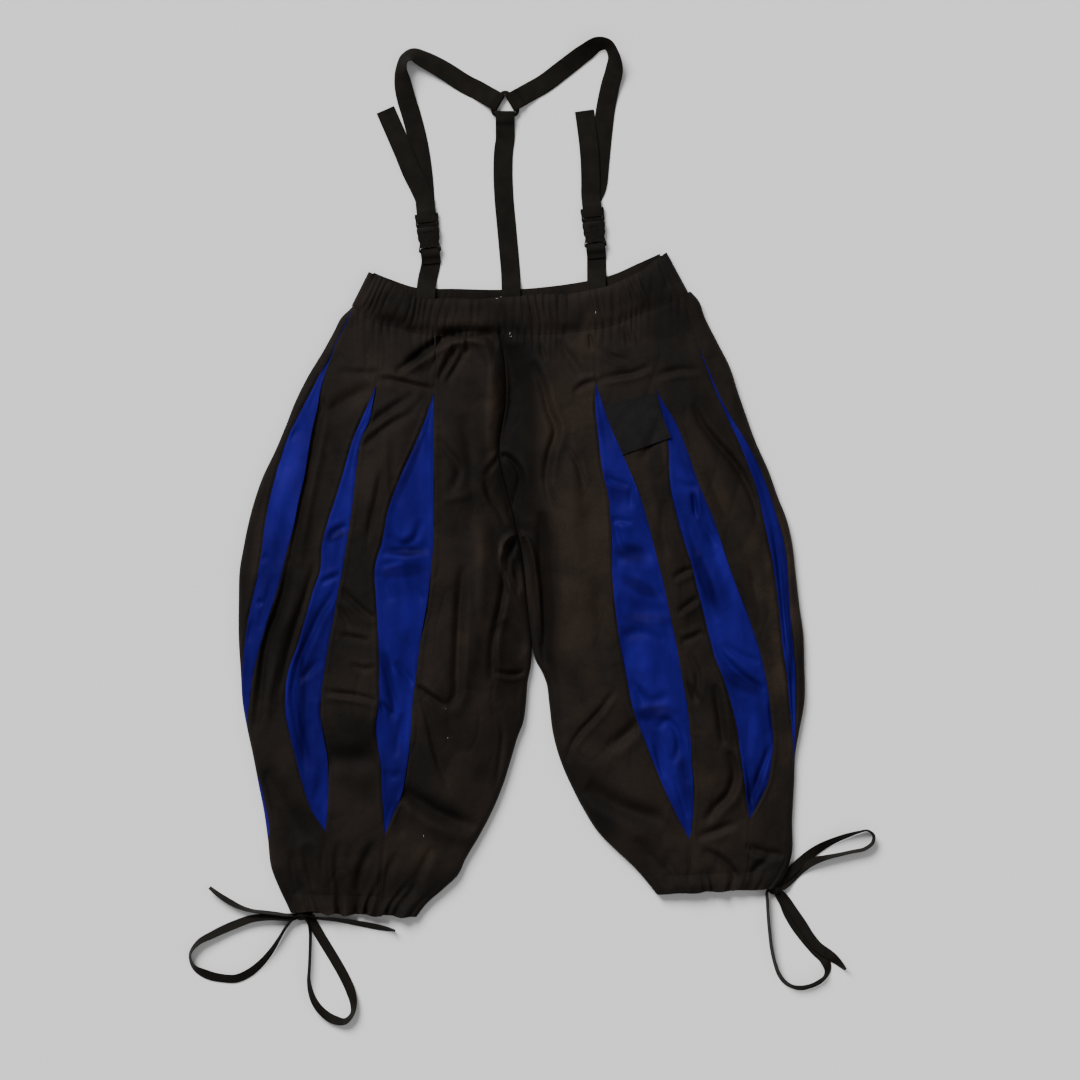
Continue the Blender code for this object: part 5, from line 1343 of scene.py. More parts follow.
def close_ends(obj):
    """Joins a rolled grid's two long edges and closes its two ends."""
    bm = bmesh.new()
    bm.from_mesh(obj.data)
    bmesh.ops.remove_doubles(bm, verts=bm.verts, dist=1e-6)
    bmesh.ops.holes_fill(bm, edges=[edge for edge in bm.edges if edge.is_boundary], sides=0)
    bmesh.ops.recalc_face_normals(bm, faces=bm.faces[:])
    bm.to_mesh(obj.data)
    bm.free()
    obj.data.shade_smooth()
    obj.data.set_sharp_from_angle(angle=math.radians(60))


def from_bar(bar, heading, steps):
    """Ways at given distances from a bar along a heading: (distance, lift) pairs, mm."""
    return [Way(bar[0] + heading[0] * ahead, bar[1] + heading[1] * ahead, lift)
            for ahead, lift in steps]


def round_bar(bar, heading, half_bar, under, off):
    """Webbing that comes up to a bar beneath it, goes half round it and leaves along heading."""
    clear = 0.3 + WEBBING_THICK / 2 + 0.05
    turns = []
    for i in range(5):
        angle = math.pi * i / 4
        back = (half_bar + clear) * abs(math.sin(angle)) ** WRAP_SQUARENESS
        rise = (RING_THICK / 2 + clear) * abs(math.cos(angle)) ** WRAP_SQUARENESS
        turns.append((-back, HARDWARE_MIDDLE - WEBBING_THICK / 2
                      - math.copysign(rise, math.cos(angle))))
    return from_bar(bar, heading, [*under, *turns, *off])


def round_ring(heading):
    """Webbing that starts round one bar of the ring."""
    bar = RING_AT[0] + heading[0] * RING_BAR, RING_AT[1] + heading[1] * RING_BAR
    return round_bar(bar, heading, RING_HALF_BAR + RING_SLACK, UNDER_RING, OFF_RING)


def buckle_heading(side):
    turn = math.radians(BUCKLE_TURN[side])
    return -math.sin(turn), math.cos(turn)


def buckle_plan(side, ahead):
    """Point on a buckle's middle line, mm ahead of its middle towards the shoulder."""
    x, y = BUCKLE_AT[side]
    across, along = buckle_heading(side)
    return x + across * ahead, y + along * ahead


LEGS = {
    "right": Leg("right_leg", RIGHT_OUTER, RIGHT_INNER, RIGHT_SLASHES, RIGHT_WAIST,
                 RIGHT_HEM, 1),
    "left": Leg("left_leg", LEFT_OUTER, LEFT_INNER, LEFT_SLASHES, LEFT_WAIST, LEFT_HEM, -1),
}
# Points of the waist seam, which the waistband is then sewn to
SEAMS = []


# Cloth pieces


def leg_piece(leg, name, down, arcs, satin=False):
    """One sewn piece of a leg's front, with its wall and material."""
    settings = cloth_settings()
    points = leg.point(down[:, None], arcs, satin)
    outward = upwards(points, np.where(np.abs(arcs) > QUARTER, np.sign(arcs), 0))
    if not outward.any():
        outward = points - points.mean((0, 1)) * [1, 1, 0]
    flat = flat_grid(arcs, down[:, None] * LEG_LENGTH)
    obj = sew(f"{leg.name}_{name}", points, flat, outward,
              settings.satin_wall if satin else settings.cotton_wall, satin)
    return points


def sew_leg(leg):
    down = np.linspace(0, 1, LEG_ROWS + 1)
    gap = SEAM_GAP / 2
    edge_out, edge_in = {}, {}
    for number in leg.tips:
        out, into = leg.slash_edges(number, down)
        edge_out[number], edge_in[number] = leg.unrolled(out), leg.unrolled(into)
    girth = leg.girth(down)
    quarter = np.full(down.shape, QUARTER)
    wrapped = np.clip((down - CROTCH_DOWN) / INSEAM_TURN, 0, 1)
    pieces = {
        "side_panel": columns_between(
            (-quarter - SIDE_WRAP, -quarter, 8), (-quarter, edge_out[3] - gap, 30)),
        "side_pane": columns_between((edge_in[3] + gap, edge_out[2] - gap, 34)),
        "front_pane": columns_between((edge_in[2] + gap, edge_out[1] - gap, 40)),
        "front_panel": columns_between(
            (edge_in[1] + gap, girth - 3 * QUARTER, 70),
            (girth - 3 * QUARTER, girth + QUARTER * wrapped, 20)),
    }
    for name, arcs in pieces.items():
        SEAMS.extend(leg_piece(leg, name, down, arcs)[0])
    for number, (first, last) in leg.tips.items():
        rows = np.linspace(first, last, round(LEG_ROWS * (last - first)) + 1)
        out, into = leg.slash_edges(number, rows)
        arcs = columns_between((leg.unrolled(out), leg.unrolled(into), 30))
        leg_piece(leg, f"insert_{number}", rows, arcs, satin=True)
    sew_back(leg)


def sew_back(leg):
    """Back panel, flat where it rests, with shallow hollows where the cloth lifts."""
    down = np.linspace(0, 1, BACK_ROWS + 1)
    outer, width = leg.edges(down)
    wrapped = np.clip((down - CROTCH_DOWN) / INSEAM_TURN, 0, 1)
    start = np.full(down.shape, FOLD_RADIUS + SIDE_WRAP + SEAM_GAP)
    end = width - wrapped * (FOLD_RADIUS + SEAM_GAP)
    across = columns_between((start, end, 70))
    x = outer[:, None] + leg.inward * across
    y = leg.y_at(down[:, None], across / width[:, None])
    lift = wrinkle_relief(BACK_WRINKLES, x, y, 21.0)
    near_edge = np.minimum(across - start[:, None], end[:, None] - across)
    near_end = np.minimum(down, 1 - down)[:, None] * LEG_LENGTH
    fade = ease(near_edge / (14 * MM)) * ease(near_end / (14 * MM))
    z = 0.02 * MM + np.maximum(lift, 0) * fade
    points = np.stack([x, y, z], -1)
    flat = flat_grid(across, down[:, None] * LEG_LENGTH)
    obj = sew(f"{leg.name}_back_panel", points, flat, upwards(points, -1),
              cloth_settings().cotton_wall)
    SEAMS.extend(points[0])


def gather_hem(leg):
    """Drawstring casing: a gathered ring of cloth, its ends meeting under the leg."""
    down = np.linspace(1 + SEAM_GAP / LEG_LENGTH, HEM_END, 9)
    width = leg.edges(down)[1]
    girth = leg.girth(down)
    quarter = np.full(down.shape, QUARTER)
    half = width / 2 - FOLD_RADIUS - SEAM_GAP / 2
    arcs = columns_between((-quarter - half, -quarter, 30), (-quarter, quarter, 12),
                           (quarter, girth - quarter, 12 * HEM_GATHERS),
                           (girth - quarter, girth + quarter, 12),
                           (girth + quarter, girth + quarter + half, 30))
    points = leg.point(down[:, None], arcs)
    share = (arcs - quarter[:, None]) / (girth - 2 * quarter)[:, None]
    on_top = (share > 0) & (share < 1)
    rows = np.linspace(0, 1, len(down))[:, None]
    rolled_edge = bell(rows - 1, 0.28)
    rise = hem_wave(share) * on_top * rows * HEM_DRAWN[leg.name]
    loose = wrinkle_relief(BAND_WRINKLES, points[..., 0], points[..., 1], 51.0) * on_top
    sides = ease(4 * np.minimum(share, 1 - share))
    points[..., 2] += rise * HEM_GATHER_HEIGHT - HEM_ROLL * rolled_edge * on_top
    puff = HEM_PUFF * bell(rows - 0.6, 0.3) - HEM_SEAM_DIP * bell(rows, 0.2)
    points[..., 2] += puff * on_top * sides + 0.6 * loose * rows * sides
    points[..., 2] = np.where(on_top, np.maximum(points[..., 2], LOWEST_TROUGH), points[..., 2])
    hang = smooth_through(*np.array(HEM_EDGE[leg.name]).T, np.clip(share, 0, 1)) * MM
    points[..., 1] -= hang * rows * on_top
    flat = flat_grid(arcs, down[:, None] * LEG_LENGTH)
    obj = sew(f"{leg.name}_hem_casing", points, flat, upwards(points, on_top),
              cloth_settings().cotton_wall)
    width, length = flat_size(flat)


def band_plan(share, up, side, seam):
    """Point of the waistband in the laid plane, across it and up from its seam."""
    rows = np.array(BAND, float)
    stations = np.linspace(0, 1, len(rows))
    columns = dict(zip(BandPoint._fields, rows.T * MM))
    seam_x, top_x, top_y = (smooth_through(stations, columns[name], share)
                            for name in ("seam_x", f"{side}_x", f"{side}_y"))
    seam_y = seam(seam_x) + SEAM_GAP
    return seam_x + (top_x - seam_x) * up, seam_y + (top_y - seam_y) * up


def waist_seams():
    """Points of the waist seam on the back and on the front, by their x."""
    points = np.array(SEAMS)
    points = points[np.argsort(points[:, 0])]
    under = points[:, 2] < 0.5 * MM
    return points[under], points[~under]


def gather_band_front(back_seam, front_seam):
    """The waistband's front, gathered, which runs round both sides."""

    def front_edge(at_x):
        above = np.interp(at_x, front_seam[:, 0], front_seam[:, 1])
        beneath = np.interp(at_x, back_seam[:, 0], back_seam[:, 1])
        return np.where(angle < 0.1, np.maximum(above, beneath) + BAND_UNDER_GAP, above)

    level = np.linspace(0, 1, BAND_ROWS)[:, None]
    up = 0.5 * (0.5 - 0.5 * np.cos(math.pi * level)) + 0.5 * level
    quarter = BAND_RADIUS * math.pi / 2
    width = BAND_LAID_WIDTH
    girth = width + 2 * (math.pi / 2 - 1) * BAND_RADIUS
    turn, full = np.full(BAND_ROWS, quarter), np.full(BAND_ROWS, girth)
    arcs = columns_between((-turn, turn, 14), (turn, full - turn, 12 * BAND_GATHERS),
                           (full - turn, full + turn, 14))
    near = np.minimum(arcs, girth - arcs)
    rolled = near < quarter
    angle = np.clip(near, -quarter, quarter) / BAND_RADIUS
    from_side = np.where(rolled, BAND_RADIUS * (1 - np.cos(angle)), near - quarter + BAND_RADIUS)
    share = np.where(arcs < girth / 2, from_side, width - from_side) / width
    turned_in = ease((near - quarter) / BAND_TURN_EASE)
    drawn_up = np.interp(share, *np.array(BAND_PULL).T)
    reach = 0.55 + 0.45 * np.sin(29 * share + 5 * up) * np.cos(13 * share)
    wave_now = gather_wave(share + 0.003 * np.sin(5 * up + 40 * share), BAND_GATHERS)
    wave_now = wave_now * turned_in * drawn_up * (0.5 + 0.5 * reach)
    wave_now = wave_now * (0.55 + 0.65 * bell(up - 0.5, 0.4))
    rise = (BAND_CREST - 2 * BAND_RADIUS) * ease((near - quarter) / BAND_RISE_EASE)
    x, y = band_plan(share, up, "front", front_edge)
    puff = BAND_PUFF * bell(up - 0.5, 0.42) * turned_in
    seam_dip = BAND_SEAM_DIP * bell(up, 0.12) * turned_in
    top_roll = BAND_TOP_ROLL * bell(up - 1, 0.09) * turned_in
    drawn = BAND_DRAWN * np.sin(37 * share) * np.sin(11 * share + 1) * up * turned_in
    z = BAND_RADIUS * (1 + np.sin(angle)) + rise + wave_now * BAND_GATHER_HEIGHT
    z = z + puff - seam_dip - top_roll
    deep = cloth_settings().crease_depth
    loose = wrinkle_relief(BAND_WRINKLES, x, y, 33.0) + deep * crease_relief(COTTON_CREASES, x, y)
    z = np.where(rolled, z, np.maximum(z + turned_in * loose, LOWEST_TROUGH + 1 * MM))
    from_leg = np.interp(x, front_seam[:, 0], front_seam[:, 2]) - 0.3 * MM
    joined = (1 - ease(up / BAND_BLEND)) * turned_in
    z = z + (from_leg - z) * joined
    y = y + drawn + 0.45 * MM * wave_now * bell(up - 1, 0.2)
    grid = np.stack([x, y, z], -1)
    flat = flat_grid(arcs, BAND_HEIGHT * up)
    obj = sew("waistband_front", grid, flat, upwards(grid, ~rolled), cloth_settings().band_wall)


def gather_band_back(back_seam):
    """The waistband's back, gathered, which lies flat between the turned sides."""
    width = BAND_LAID_WIDTH
    end = (BAND_RADIUS + BAND_END_GAP) / width
    share = np.linspace(end, 1 - end, 8 * BAND_GATHERS + 1)[None, :]
    up = np.linspace(0, 1, BAND_BACK_ROWS)[:, None]
    x, y = band_plan(share, up, "back", lambda at_x: np.interp(at_x, *back_seam[:, :2].T))
    ripple = gather_wave(share + 0.03, BAND_GATHERS) * (0.6 + 0.4 * np.sin(19 * share + 3 * up))
    z = 2.0 * MM + BAND_BACK_RIPPLE * (1 + ripple) * 0.5 * (1 - 0.5 * bell(up - 1, 0.1))
    grid = np.stack([x, y, z], -1)
    flat = flat_grid(share * width, BAND_BACK_HEIGHT * up)
    obj = sew("waistband_back", grid, flat, upwards(grid, 1), BAND_BACK_WALL)


def capsule(bm, place, turn, length, normal, radius):
    """A short round stitch: a stretched ball, added to a bmesh."""
    verts = bmesh.ops.create_uvsphere(bm, u_segments=8, v_segments=6, radius=radius)["verts"]
    bmesh.ops.scale(bm, vec=(length / radius / 2, 1, 1), verts=verts)
    normal = Vector(normal)
    spin = Vector((0, 0, 1)).rotation_difference(normal).to_matrix()
    heading = Vector((math.cos(turn), math.sin(turn), 0))
    heading = (heading - normal * heading.dot(normal)).normalized()
    twist = (spin @ Vector((1, 0, 0))).rotation_difference(heading).to_matrix()
    bmesh.ops.rotate(bm, cent=(0, 0, 0), matrix=twist @ spin, verts=verts)
    bmesh.ops.translate(bm, vec=place, verts=verts)


def sew_stitches(name, runs, mat, radius, slot):
    """Stitches as one piece: each run is a point, a heading angle, a length and a normal."""
    bm = bmesh.new()
    for run in runs:
        capsule(bm, *run, radius)
    mesh = new_mesh(name, bm)
    mesh.shade_smooth()
    place_piece(add_object(name, mesh, mat), slot)


def label_grid(leg):
    """Grid of points on the patch's face, a little softer than the cloth under it."""
    share = np.linspace(0, 1, LABEL_STEPS + 1)
    u, v = share[None, :, None], share[:, None, None]
    corners = np.array(LABEL_CORNERS) * MM
    plan = (corners[0] * (1 - u) + corners[1] * u) * (1 - v)
    plan = plan + (corners[3] * (1 - u) + corners[2] * u) * v
    down, distance = leg.find(plan[..., 0], plan[..., 1])
    arc = leg.unrolled(distance)
    normal = leg.normal(down, arc)
    plain = leg.point(down, arc, plain=True)
    soft = plain + LABEL_FOLLOWS * (leg.point(down, arc) - plain)
    return soft + normal * (LABEL_LIFT + LABEL_THICK), normal


# Operators, in the order in which they are called


class TROUSERS_OT_place_camera(bpy.types.Operator):
    """Put the camera straight above the laid garment"""

    bl_idname = "trousers.place_camera"
    bl_label = "Place the camera"

    def execute(self, context):
        settings = context.scene.trousers_stage
        data = bpy.data.cameras.new("camera")
        data.sensor_width = SENSOR
        data.lens = settings.lens
        camera = bpy.data.objects.new("camera", data)
        x, y = laid(PICTURE_MIDDLE, PICTURE_MIDDLE)
        distance = PICTURE_WIDTH * PIXEL * settings.lens / SENSOR
        camera.location = (x, y, distance)
        context.scene.collection.objects.link(camera)
        context.scene.camera = camera
        return {"FINISHED"}


class TROUSERS_OT_tie_laces(bpy.types.Operator):
    """Lay the hem laces and their knots"""

    bl_idname = "trousers.tie_laces"
    bl_label = "Tie the laces"

    def execute(self, context):
        tape = context.scene.trousers_tape
        mat = shared_material("lace_tape", webbing_material, 0.55, 0.66)
        knots = {side: self.tie_knot(side, mat) for side in KNOT_AT}
        for name, ways in LACES.items():
            side = name.split("_")[0]
            loop = name.endswith("loop")
            ways = [self.into_knot(side, ways[0]), *ways]
            if loop:
                ways.append(self.into_knot(side, ways[-1]))
            obj, centre, length = tape_mesh(f"tape_{name}", ways, tape.lace_width,
                                            tape.lace_thick, mat, 0.45, (True, loop))
            place_piece(obj, "black_webbing", name)
        return {"FINISHED"}

    @staticmethod
    def into_knot(side, way):
        """The place inside a knot that a lace comes from."""
        x, y = KNOT_AT[side]
        return Way(x + INTO_KNOT * (way.x - x), y + INTO_KNOT * (way.y - y), way.lift, way.tilt)

    @staticmethod
    def tie_knot(side, mat):
        """Knot of a bow: a ball with the turns of the lace wound round it."""
        bm = bmesh.new()
        bmesh.ops.create_uvsphere(bm, u_segments=40, v_segments=24, radius=1)
        for vert in bm.verts:
            turns = math.sin(7 * vert.co.z + 3 * math.atan2(vert.co.y, vert.co.x) * 0.5)
            cross = math.sin(6 * vert.co.x + 2 * vert.co.y)
            vert.co *= 1 + 0.05 * turns + 0.04 * cross
        bmesh.ops.scale(bm, vec=Vector(KNOT_SIZE) * MM * 0.96, verts=bm.verts)
        place = Vector((*KNOT_AT[side], KNOT_SIZE[2])) * MM
        bmesh.ops.translate(bm, vec=place, verts=bm.verts)
        mesh = new_mesh(f"knot_{side}_lace", bm)
        mesh.uv_layers.new(name="UVMap")
        mesh.shade_smooth()
        obj = add_object(f"knot_{side}_lace", mesh, mat)
        return place_piece(obj, "black_webbing", f"{side}_lace_knot")


class TROUSERS_OT_sew_legs(bpy.types.Operator):
    """Sew both legs: side, panes, front, back and the satin inserts"""

    bl_idname = "trousers.sew_legs"
    bl_label = "Sew the legs"

    def execute(self, context):
        for leg in LEGS.values():
            sew_leg(leg)
        return {"FINISHED"}


class TROUSERS_OT_gather_hems(bpy.types.Operator):
    """Gather the drawstring casings of the hems"""

    bl_idname = "trousers.gather_hems"
    bl_label = "Gather the hems"

    def execute(self, context):
        for leg in LEGS.values():
            gather_hem(leg)
        return {"FINISHED"}


class TROUSERS_OT_gather_waistband(bpy.types.Operator):
    """Gather the elastic waistband, front and back"""

    bl_idname = "trousers.gather_waistband"
    bl_label = "Gather the waistband"

    def execute(self, context):
        back_seam, front_seam = waist_seams()
        gather_band_front(back_seam, front_seam)
        gather_band_back(back_seam)
        return {"FINISHED"}


class TROUSERS_OT_sew_label(bpy.types.Operator):
    """Sew the blank patch on the left leg, with its border of stitches"""

    bl_idname = "trousers.sew_label"
    bl_label = "Sew the patch"

    def execute(self, context):
        points, normal = label_grid(LEGS["left"])
        wide, long = LABEL_SIZE
        share = np.linspace(0, 1, LABEL_STEPS + 1)
        flat = flat_grid(share * wide * MM, share[:, None] * long * MM)
        mat = shared_material("label_weave", patch_material)
        obj = sheet_mesh("patch_label", points, flat, normal, mat)
        wall(obj, LABEL_THICK)
        place_piece(obj, "black_webbing", "label_patch")
        runs = self.border(points, normal)
        sew_stitches("patch_stitches", runs, dark_thread(), 0.26 * MM, "black_webbing")
        return {"FINISHED"}

    @staticmethod
    def border(points, normal):
        """Stitches round the patch, a little in from its edges."""
        runs = []
        low, high = LABEL_STITCH_INSET, 1 - LABEL_STITCH_INSET
        corners = [(low, low), (high, low), (high, high), (low, high)]
        for start, end in zip(corners, corners[1:] + corners[:1]):
            last = points[-1, 0] if start[0] == end[0] else points[0, -1]
            ahead = last - points[0, 0]
            for i in range(LABEL_STITCHES):
                t = (i + 0.5) / LABEL_STITCHES
                column = (start[0] + (end[0] - start[0]) * t) * LABEL_STEPS
                row = (start[1] + (end[1] - start[1]) * t) * LABEL_STEPS
                r, c = int(row), int(column)
                fr, fc = row - r, column - c
                at = ((points[r, c] * (1 - fc) + points[r, c + 1] * fc) * (1 - fr)
                      + (points[r + 1, c] * (1 - fc) + points[r + 1, c + 1] * fc) * fr)
                runs.append((at + normal[r, c] * 0.05 * MM, math.atan2(ahead[1], ahead[0]),
                             2.3 * MM, normal[r, c]))
        return runs


class TROUSERS_OT_lay_braces(bpy.types.Operator):
    """Lay the webbing: back strap, two braces and the tabs in the waistband"""

    bl_idname = "trousers.lay_braces"
    bl_label = "Lay the braces"

    def execute(self, context):
        self.tape = context.scene.trousers_tape
        self.mat = shared_material("brace_webbing", webbing_material, 0.9, 0.72)
        self.lay("strap_back", round_ring((0.0, -1.0)) + BACK_STRAP)
        for side in ("right", "left"):
            self.lay_brace(side)
            self.lay_tab(side)
        x, y = TACK_AT
        runs = [(Vector(((x + (i - TACKS // 2) * TACK_STEP) * MM, y * MM, 1.55 * MM)), 0,
                 1.9 * MM, (0, 0, 1)) for i in range(TACKS)]
        sew_stitches("brace_stitches", runs, dark_thread(), 0.28 * MM, "black_webbing")
        return {"FINISHED"}

    def lay(self, node_name, ways):
        obj, centre, length = tape_mesh(f"tape_{node_name}", ways, self.tape.webbing_width,
                                        self.tape.webbing_thick, self.mat, 0.15)
        place_piece(obj, "black_webbing", node_name)

    def lay_brace(self, side):
        outward = -1 if side == "right" else 1
        angle = math.radians(SHOULDER_STRAP_ANGLE)
        ways = round_ring((outward * math.cos(angle), math.sin(angle))) + SHOULDER[side]
        ways += round_bar(buckle_plan(side, FRAME_BAR_AHEAD), buckle_heading(side),
                          FRAME_HALF_BAR, UNDER_FRAME, OFF_FRAME)
        self.lay(f"strap_{side}", ways + BRACE_TAIL[side])

    def lay_tab(self, side):
        down = tuple(-part for part in buckle_heading(side))
        ways = round_bar(buckle_plan(side, TAB_BAR_AHEAD), down, TAB_HALF_BAR, UNDER_TAB, OFF_TAB)
        self.lay(f"tab_{side}", TAB_FOOT[side][::-1] + ways)


def plate_mesh(name, outline, low, high, mat, rounding=0, segments=3):
    """Flat plate from its outline in mm, its edges rounded."""
    bm = bmesh.new()
    verts = [bm.verts.new((x * MM, y * MM, low * MM)) for x, y in outline]
    face = bm.faces.new(verts)
    up = bmesh.ops.extrude_face_region(bm, geom=[face])
    moved = [item for item in up["geom"] if isinstance(item, bmesh.types.BMVert)]
    bmesh.ops.translate(bm, vec=(0, 0, (high - low) * MM), verts=moved)
    bmesh.ops.recalc_face_normals(bm, faces=bm.faces[:])
    if rounding:
        sharp = [edge for edge in bm.edges if edge.calc_face_angle(0) > math.radians(40)]
        bmesh.ops.bevel(bm, geom=sharp, offset=rounding * MM, segments=segments, profile=0.5,
                        affect="EDGES", material=-1)
    return add_object(name, new_mesh(name, bm), mat)


def cut_away(obj, cutters):
    """Cuts one object by others, applies the cuts and removes the cutters."""
    for cutter in cutters:
        modifier = obj.modifiers.new(cutter.name, "BOOLEAN")
        modifier.object = cutter
        modifier.operation = "DIFFERENCE"
        modifier.solver = "EXACT"
    settle(obj)
    for cutter in cutters:
        bpy.data.objects.remove(cutter, do_unlink=True)
    return obj


def settle(obj):
    """Applies an object's modifiers to its mesh."""
    deps = bpy.context.evaluated_depsgraph_get()
    mesh = bpy.data.meshes.new_from_object(obj.evaluated_get(deps))
    obj.modifiers.clear()
    obj.data = mesh


def box_outline(width, length, x, y):
    """Corners of a rectangle about its middle."""
    return [(x - width / 2, y - length / 2), (x + width / 2, y - length / 2),
            (x + width / 2, y + length / 2), (x - width / 2, y + length / 2)]


def mirrored(half, first):
    """Whole outline from its right half, starting with the last points of the left half."""
    left = [(-x, y) for x, y in reversed(half)]
    return left[-first:] + half + left[:-first]


def join_into(name, objects, mat):
    """Joins several objects into one mesh."""
    bm = bmesh.new()
    for obj in objects:
        bm.from_mesh(obj.data)
    mesh = new_mesh(name, bm)
    for obj in objects:
        bpy.data.objects.remove(obj, do_unlink=True)
    return add_object(name, mesh, mat)


def put_down(obj, place, turn):
    """Turns and moves a mesh to its place, leaving the object at the origin."""
    bm = bmesh.new()
    bm.from_mesh(obj.data)
    spin = Vector((0, 0, 1))
    bmesh.ops.rotate(bm, cent=(0, 0, 0), matrix=Matrix.Rotation(turn, 3, spin), verts=bm.verts)
    bmesh.ops.translate(bm, vec=Vector(place) * MM, verts=bm.verts)
    bm.to_mesh(obj.data)
    bm.free()
    obj.data.shade_smooth()
    obj.data.set_sharp_from_angle(angle=math.radians(32))
    return obj


class TROUSERS_OT_fit_buckles(bpy.types.Operator):
    """Fit the ring and the two side-release buckles"""

    bl_idname = "trousers.fit_buckles"
    bl_label = "Fit the ring and buckles"

    def execute(self, context):
        mat = shared_material("moulded_plastic", plastic_material)
        self.fit_ring(mat)
        for side in ("right", "left"):
            for part, make, ahead, height in (
                    ("frame", self.make_frame, FRAME_AHEAD, HARDWARE_MIDDLE),
                    ("socket", self.make_socket, SOCKET_AHEAD,
                     SOCKET_BOTTOM + SOCKET_THICK / 2)):
                place = (*buckle_plan(side, ahead), height)
                obj = put_down(make(f"buckle_{part}_{side}", mat), place,
                               math.radians(BUCKLE_TURN[side]))
                place_piece(obj, "black_plastic", f"{side}_buckle_{part}")
        return {"FINISHED"}

    @staticmethod
    def make_frame(name, mat):
        """The plug's end: a frame with two bars for the brace, its sides bowed in."""
        outline = mirrored([(12.2, 7.5), (13.0, 7.0), (13.0, 3.5), (12.5, 0), (12.8, -4.5),
                            (12.4, -7.5)], 2)
        slots = [plate_mesh("slot", box_outline(*slot), -4, 4, mat)
                 for slot in ((21.3, 2.4, 0, 2.8), (21.5, 2.0, 0, -2.4))]
        return cut_away(plate_mesh(name, outline, -1.5, 1.5, mat, 0.6), slots)

    @staticmethod
    def make_socket(name, mat):
        """The socket: a shaped hollow body with the plug's prongs in its side windows."""
        half = SOCKET_THICK / 2
        outline = mirrored([(11.6, 14.0), (12.4, 12.9), (12.5, 8.5), (11.6, 4.5), (10.7, 0.5),
                            (10.6, -3.5), (11.4, -7.0), (12.3, -9.5), (12.4, -12.5),
                            (11.4, -13.5)], 1)
        thumb_hollow = [(-4.6, 9.0), (4.6, 9.0), (3.4, 0.5), (0, -1.6), (-3.4, 0.5)]
        body = cut_away(plate_mesh("socket_body", outline, -half, half, mat, 1.3, 4), [
            *(plate_mesh("window", box_outline(3.4, 9.5, x, 1.5), -1.5, 1.5, mat)
              for x in (-10.6, 10.6)),
            plate_mesh("tab_slot", box_outline(21.5, 2.0, 0, -9.3), -9, 9, mat),
            plate_mesh("tab_recess", box_outline(21.5, 10, 0, -13.4), -0.05, 9, mat),
            plate_mesh("thumb_hollow", thumb_hollow, half - 0.55, half + 3, mat)])
        arm = [(8.6, 7.5), (10.6, 7.2), (11.9, 4.8), (12.15, 2.2), (11.5, -0.8), (10.0, -3.2),
               (8.9, -3.0), (9.6, -0.6), (9.9, 2.4), (9.4, 4.8)]
        prongs = [plate_mesh("prong", [(way * x, y) for x, y in arm][::way], -1.25, 1.25, mat, 0.4)
                  for way in (-1, 1)]
        guide = plate_mesh("guide", box_outline(16.5, 1.5, 0, 14.1), -1.1, 1.1, mat, 0.3)
        return join_into(name, [body, *prongs, guide], mat)

    @staticmethod
    def round_triangle(corners, rounding):
        """Triangle with round corners: how far out their middles are, and their radius."""
        outline = []
        for i in range(3):
            corner = math.radians(90 + 120 * i)
            for step in range(-3, 4):
                turn = corner + math.radians(17.5 * step)
                outline.append((corners * math.cos(corner) + rounding * math.cos(turn),
                                corners * math.sin(corner) + rounding * math.sin(turn)))
        return outline

    def fit_ring(self, mat):
        """Triangular ring with round corners and round edges."""
        body = plate_mesh("brace_ring", self.round_triangle(RING_CORNERS, RING_ROUNDING),
                          -RING_THICK / 2, RING_THICK / 2, mat, 0.9)
        hole = self.round_triangle(HOLE_CORNERS, HOLE_ROUNDING)
        cut_away(body, [plate_mesh("ring_hole", hole, -6, 6, mat)])
        place_piece(put_down(body, (*RING_AT, HARDWARE_MIDDLE), 0), "black_plastic", "strap_ring")


class TROUSERS_OT_drop_threads(bpy.types.Operator):
    """Drop the few bits of light thread that lie on the cloth"""

    bl_idname = "trousers.drop_threads"
    bl_label = "Drop bits of thread"

    def execute(self, context):
        deps = context.evaluated_depsgraph_get()
        runs = []
        for bit in THREAD_BITS:
            x, y = laid(bit.x, bit.y)
            hit, point, normal, *_ = context.scene.ray_cast(
                deps, Vector((x, y, 0.2)), Vector((0, 0, -1)))
            if not hit:
                raise RuntimeError(f"no cloth below the bit of thread at {bit.x}, {bit.y}")
            runs.append((point + normal * 0.15 * MM, math.radians(bit.turn),
                         bit.length * MM, normal))
        mat = shared_material("light_thread", thread_material, (0.55, 0.53, 0.50))
        sew_stitches("thread_bits", runs, mat, 0.22 * MM, "black_cotton")
        return {"FINISHED"}


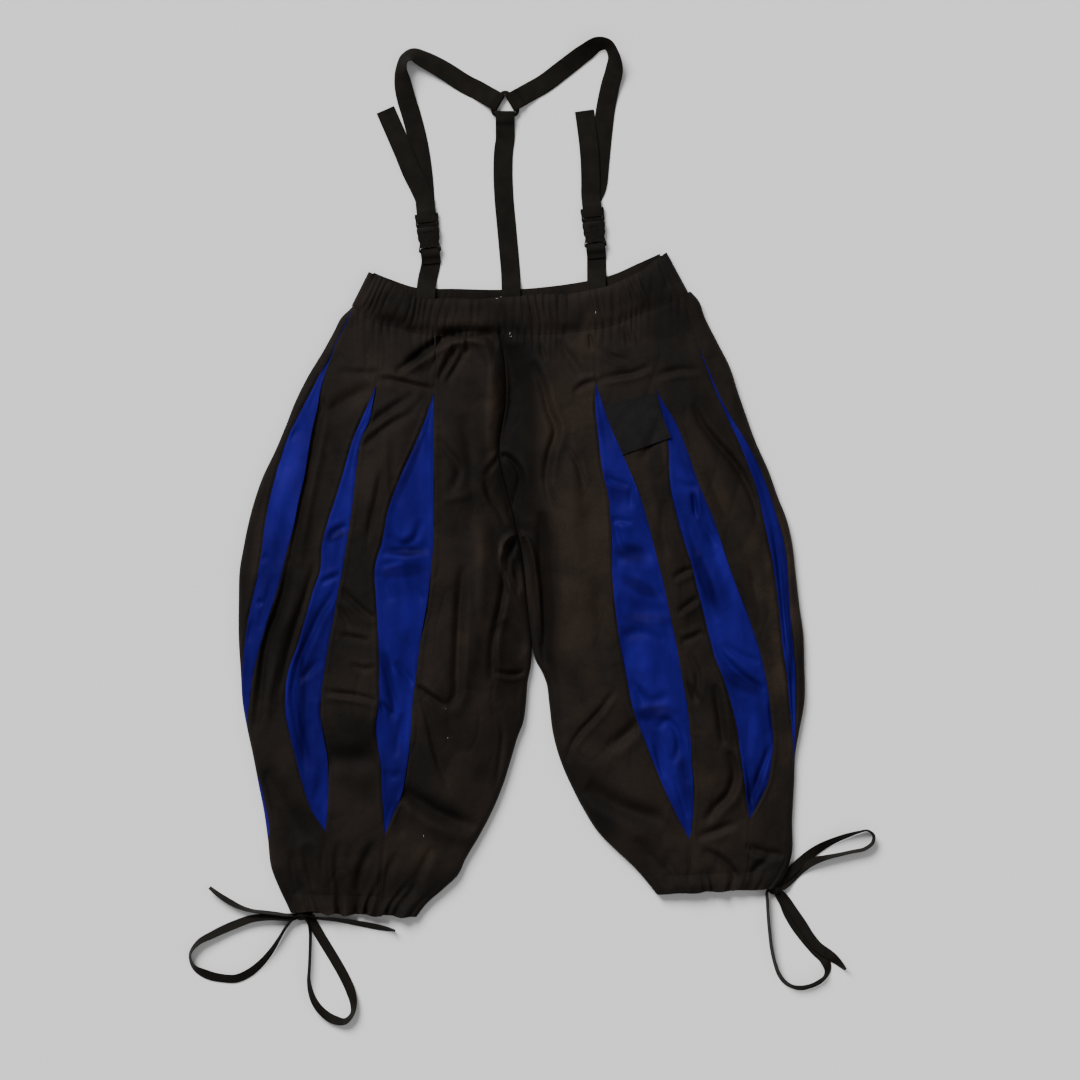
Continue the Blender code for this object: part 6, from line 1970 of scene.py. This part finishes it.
class TROUSERS_OT_set_stage(bpy.types.Operator):
    """Set the pale floor and the soft lamps"""

    bl_idname = "trousers.set_stage"
    bl_label = "Set the stage"

    def execute(self, context):
        settings = context.scene.trousers_stage
        mat, tree, shader = start_material("floor_paper", Roughness=0.9, Specular_IOR_Level=0.1)
        shade = spots(tree, millimetres(tree, "Object"), 0.004)
        colour = settings.floor_colour
        add_colour(tree, shader, ramp(tree, shade, times(colour, 0.985), colour))
        bm = bmesh.new()
        bmesh.ops.create_grid(bm, x_segments=1, y_segments=1, size=6)
        bmesh.ops.translate(bm, vec=(0, 0, -0.0004), verts=bm.verts)
        add_object("floor", new_mesh("floor", bm), mat)
        self.lamp("key_light", (-1.5, 2.4, 2.6), 30, settings.key_strength)
        self.lamp("fill_light", (1.7, -1.2, 2.3), 60, settings.fill_strength)
        world = bpy.data.worlds.new("studio")
        world.use_nodes = True
        background = world.node_tree.nodes["Background"]
        background.inputs["Color"].default_value = (1.0, 1.0, 1.0, 1)
        background.inputs["Strength"].default_value = settings.world_strength
        context.scene.world = world
        return {"FINISHED"}

    @staticmethod
    def lamp(name, place, spread, strength):
        """A soft light from far away in the direction of a place."""
        data = bpy.data.lights.new(name, "SUN")
        data.angle = math.radians(spread)
        data.energy = strength
        lamp = bpy.data.objects.new(name, data)
        lamp.location = place
        lamp.rotation_euler = Vector(place).to_track_quat("Z", "Y").to_euler()
        bpy.context.scene.collection.objects.link(lamp)


class TROUSERS_PT_panel(bpy.types.Panel):
    """Lists the trousers' operators and settings"""

    bl_idname = "TROUSERS_PT_panel"
    bl_label = "Renaissance trousers"
    bl_space_type = "VIEW_3D"
    bl_region_type = "UI"
    bl_category = "Trousers"

    def draw(self, context):
        column = self.layout.column()
        for operator in OPERATORS:
            column.operator(operator.bl_idname)
        for group, kind in SETTINGS.items():
            box = self.layout.box()
            for name in kind.__annotations__:
                box.prop(getattr(context.scene, group), name)


OPERATORS = (
    TROUSERS_OT_place_camera,
    TROUSERS_OT_tie_laces,
    TROUSERS_OT_sew_legs,
    TROUSERS_OT_gather_hems,
    TROUSERS_OT_gather_waistband,
    TROUSERS_OT_sew_label,
    TROUSERS_OT_lay_braces,
    TROUSERS_OT_fit_buckles,
    TROUSERS_OT_drop_threads,
    TROUSERS_OT_set_stage,
)
CLASSES = (*SETTINGS.values(), *OPERATORS, TROUSERS_PT_panel)


def register():
    for cls in CLASSES:
        bpy.utils.register_class(cls)
    for name, kind in SETTINGS.items():
        setattr(bpy.types.Scene, name, PointerProperty(type=kind))


def unregister():
    for name in SETTINGS:
        delattr(bpy.types.Scene, name)
    for cls in reversed(CLASSES):
        bpy.utils.unregister_class(cls)


def main():
    register()
    for operator in OPERATORS:
        group, name = operator.bl_idname.split(".")
        getattr(getattr(bpy.ops, group), name)()


if __name__ == "__main__":
    main()
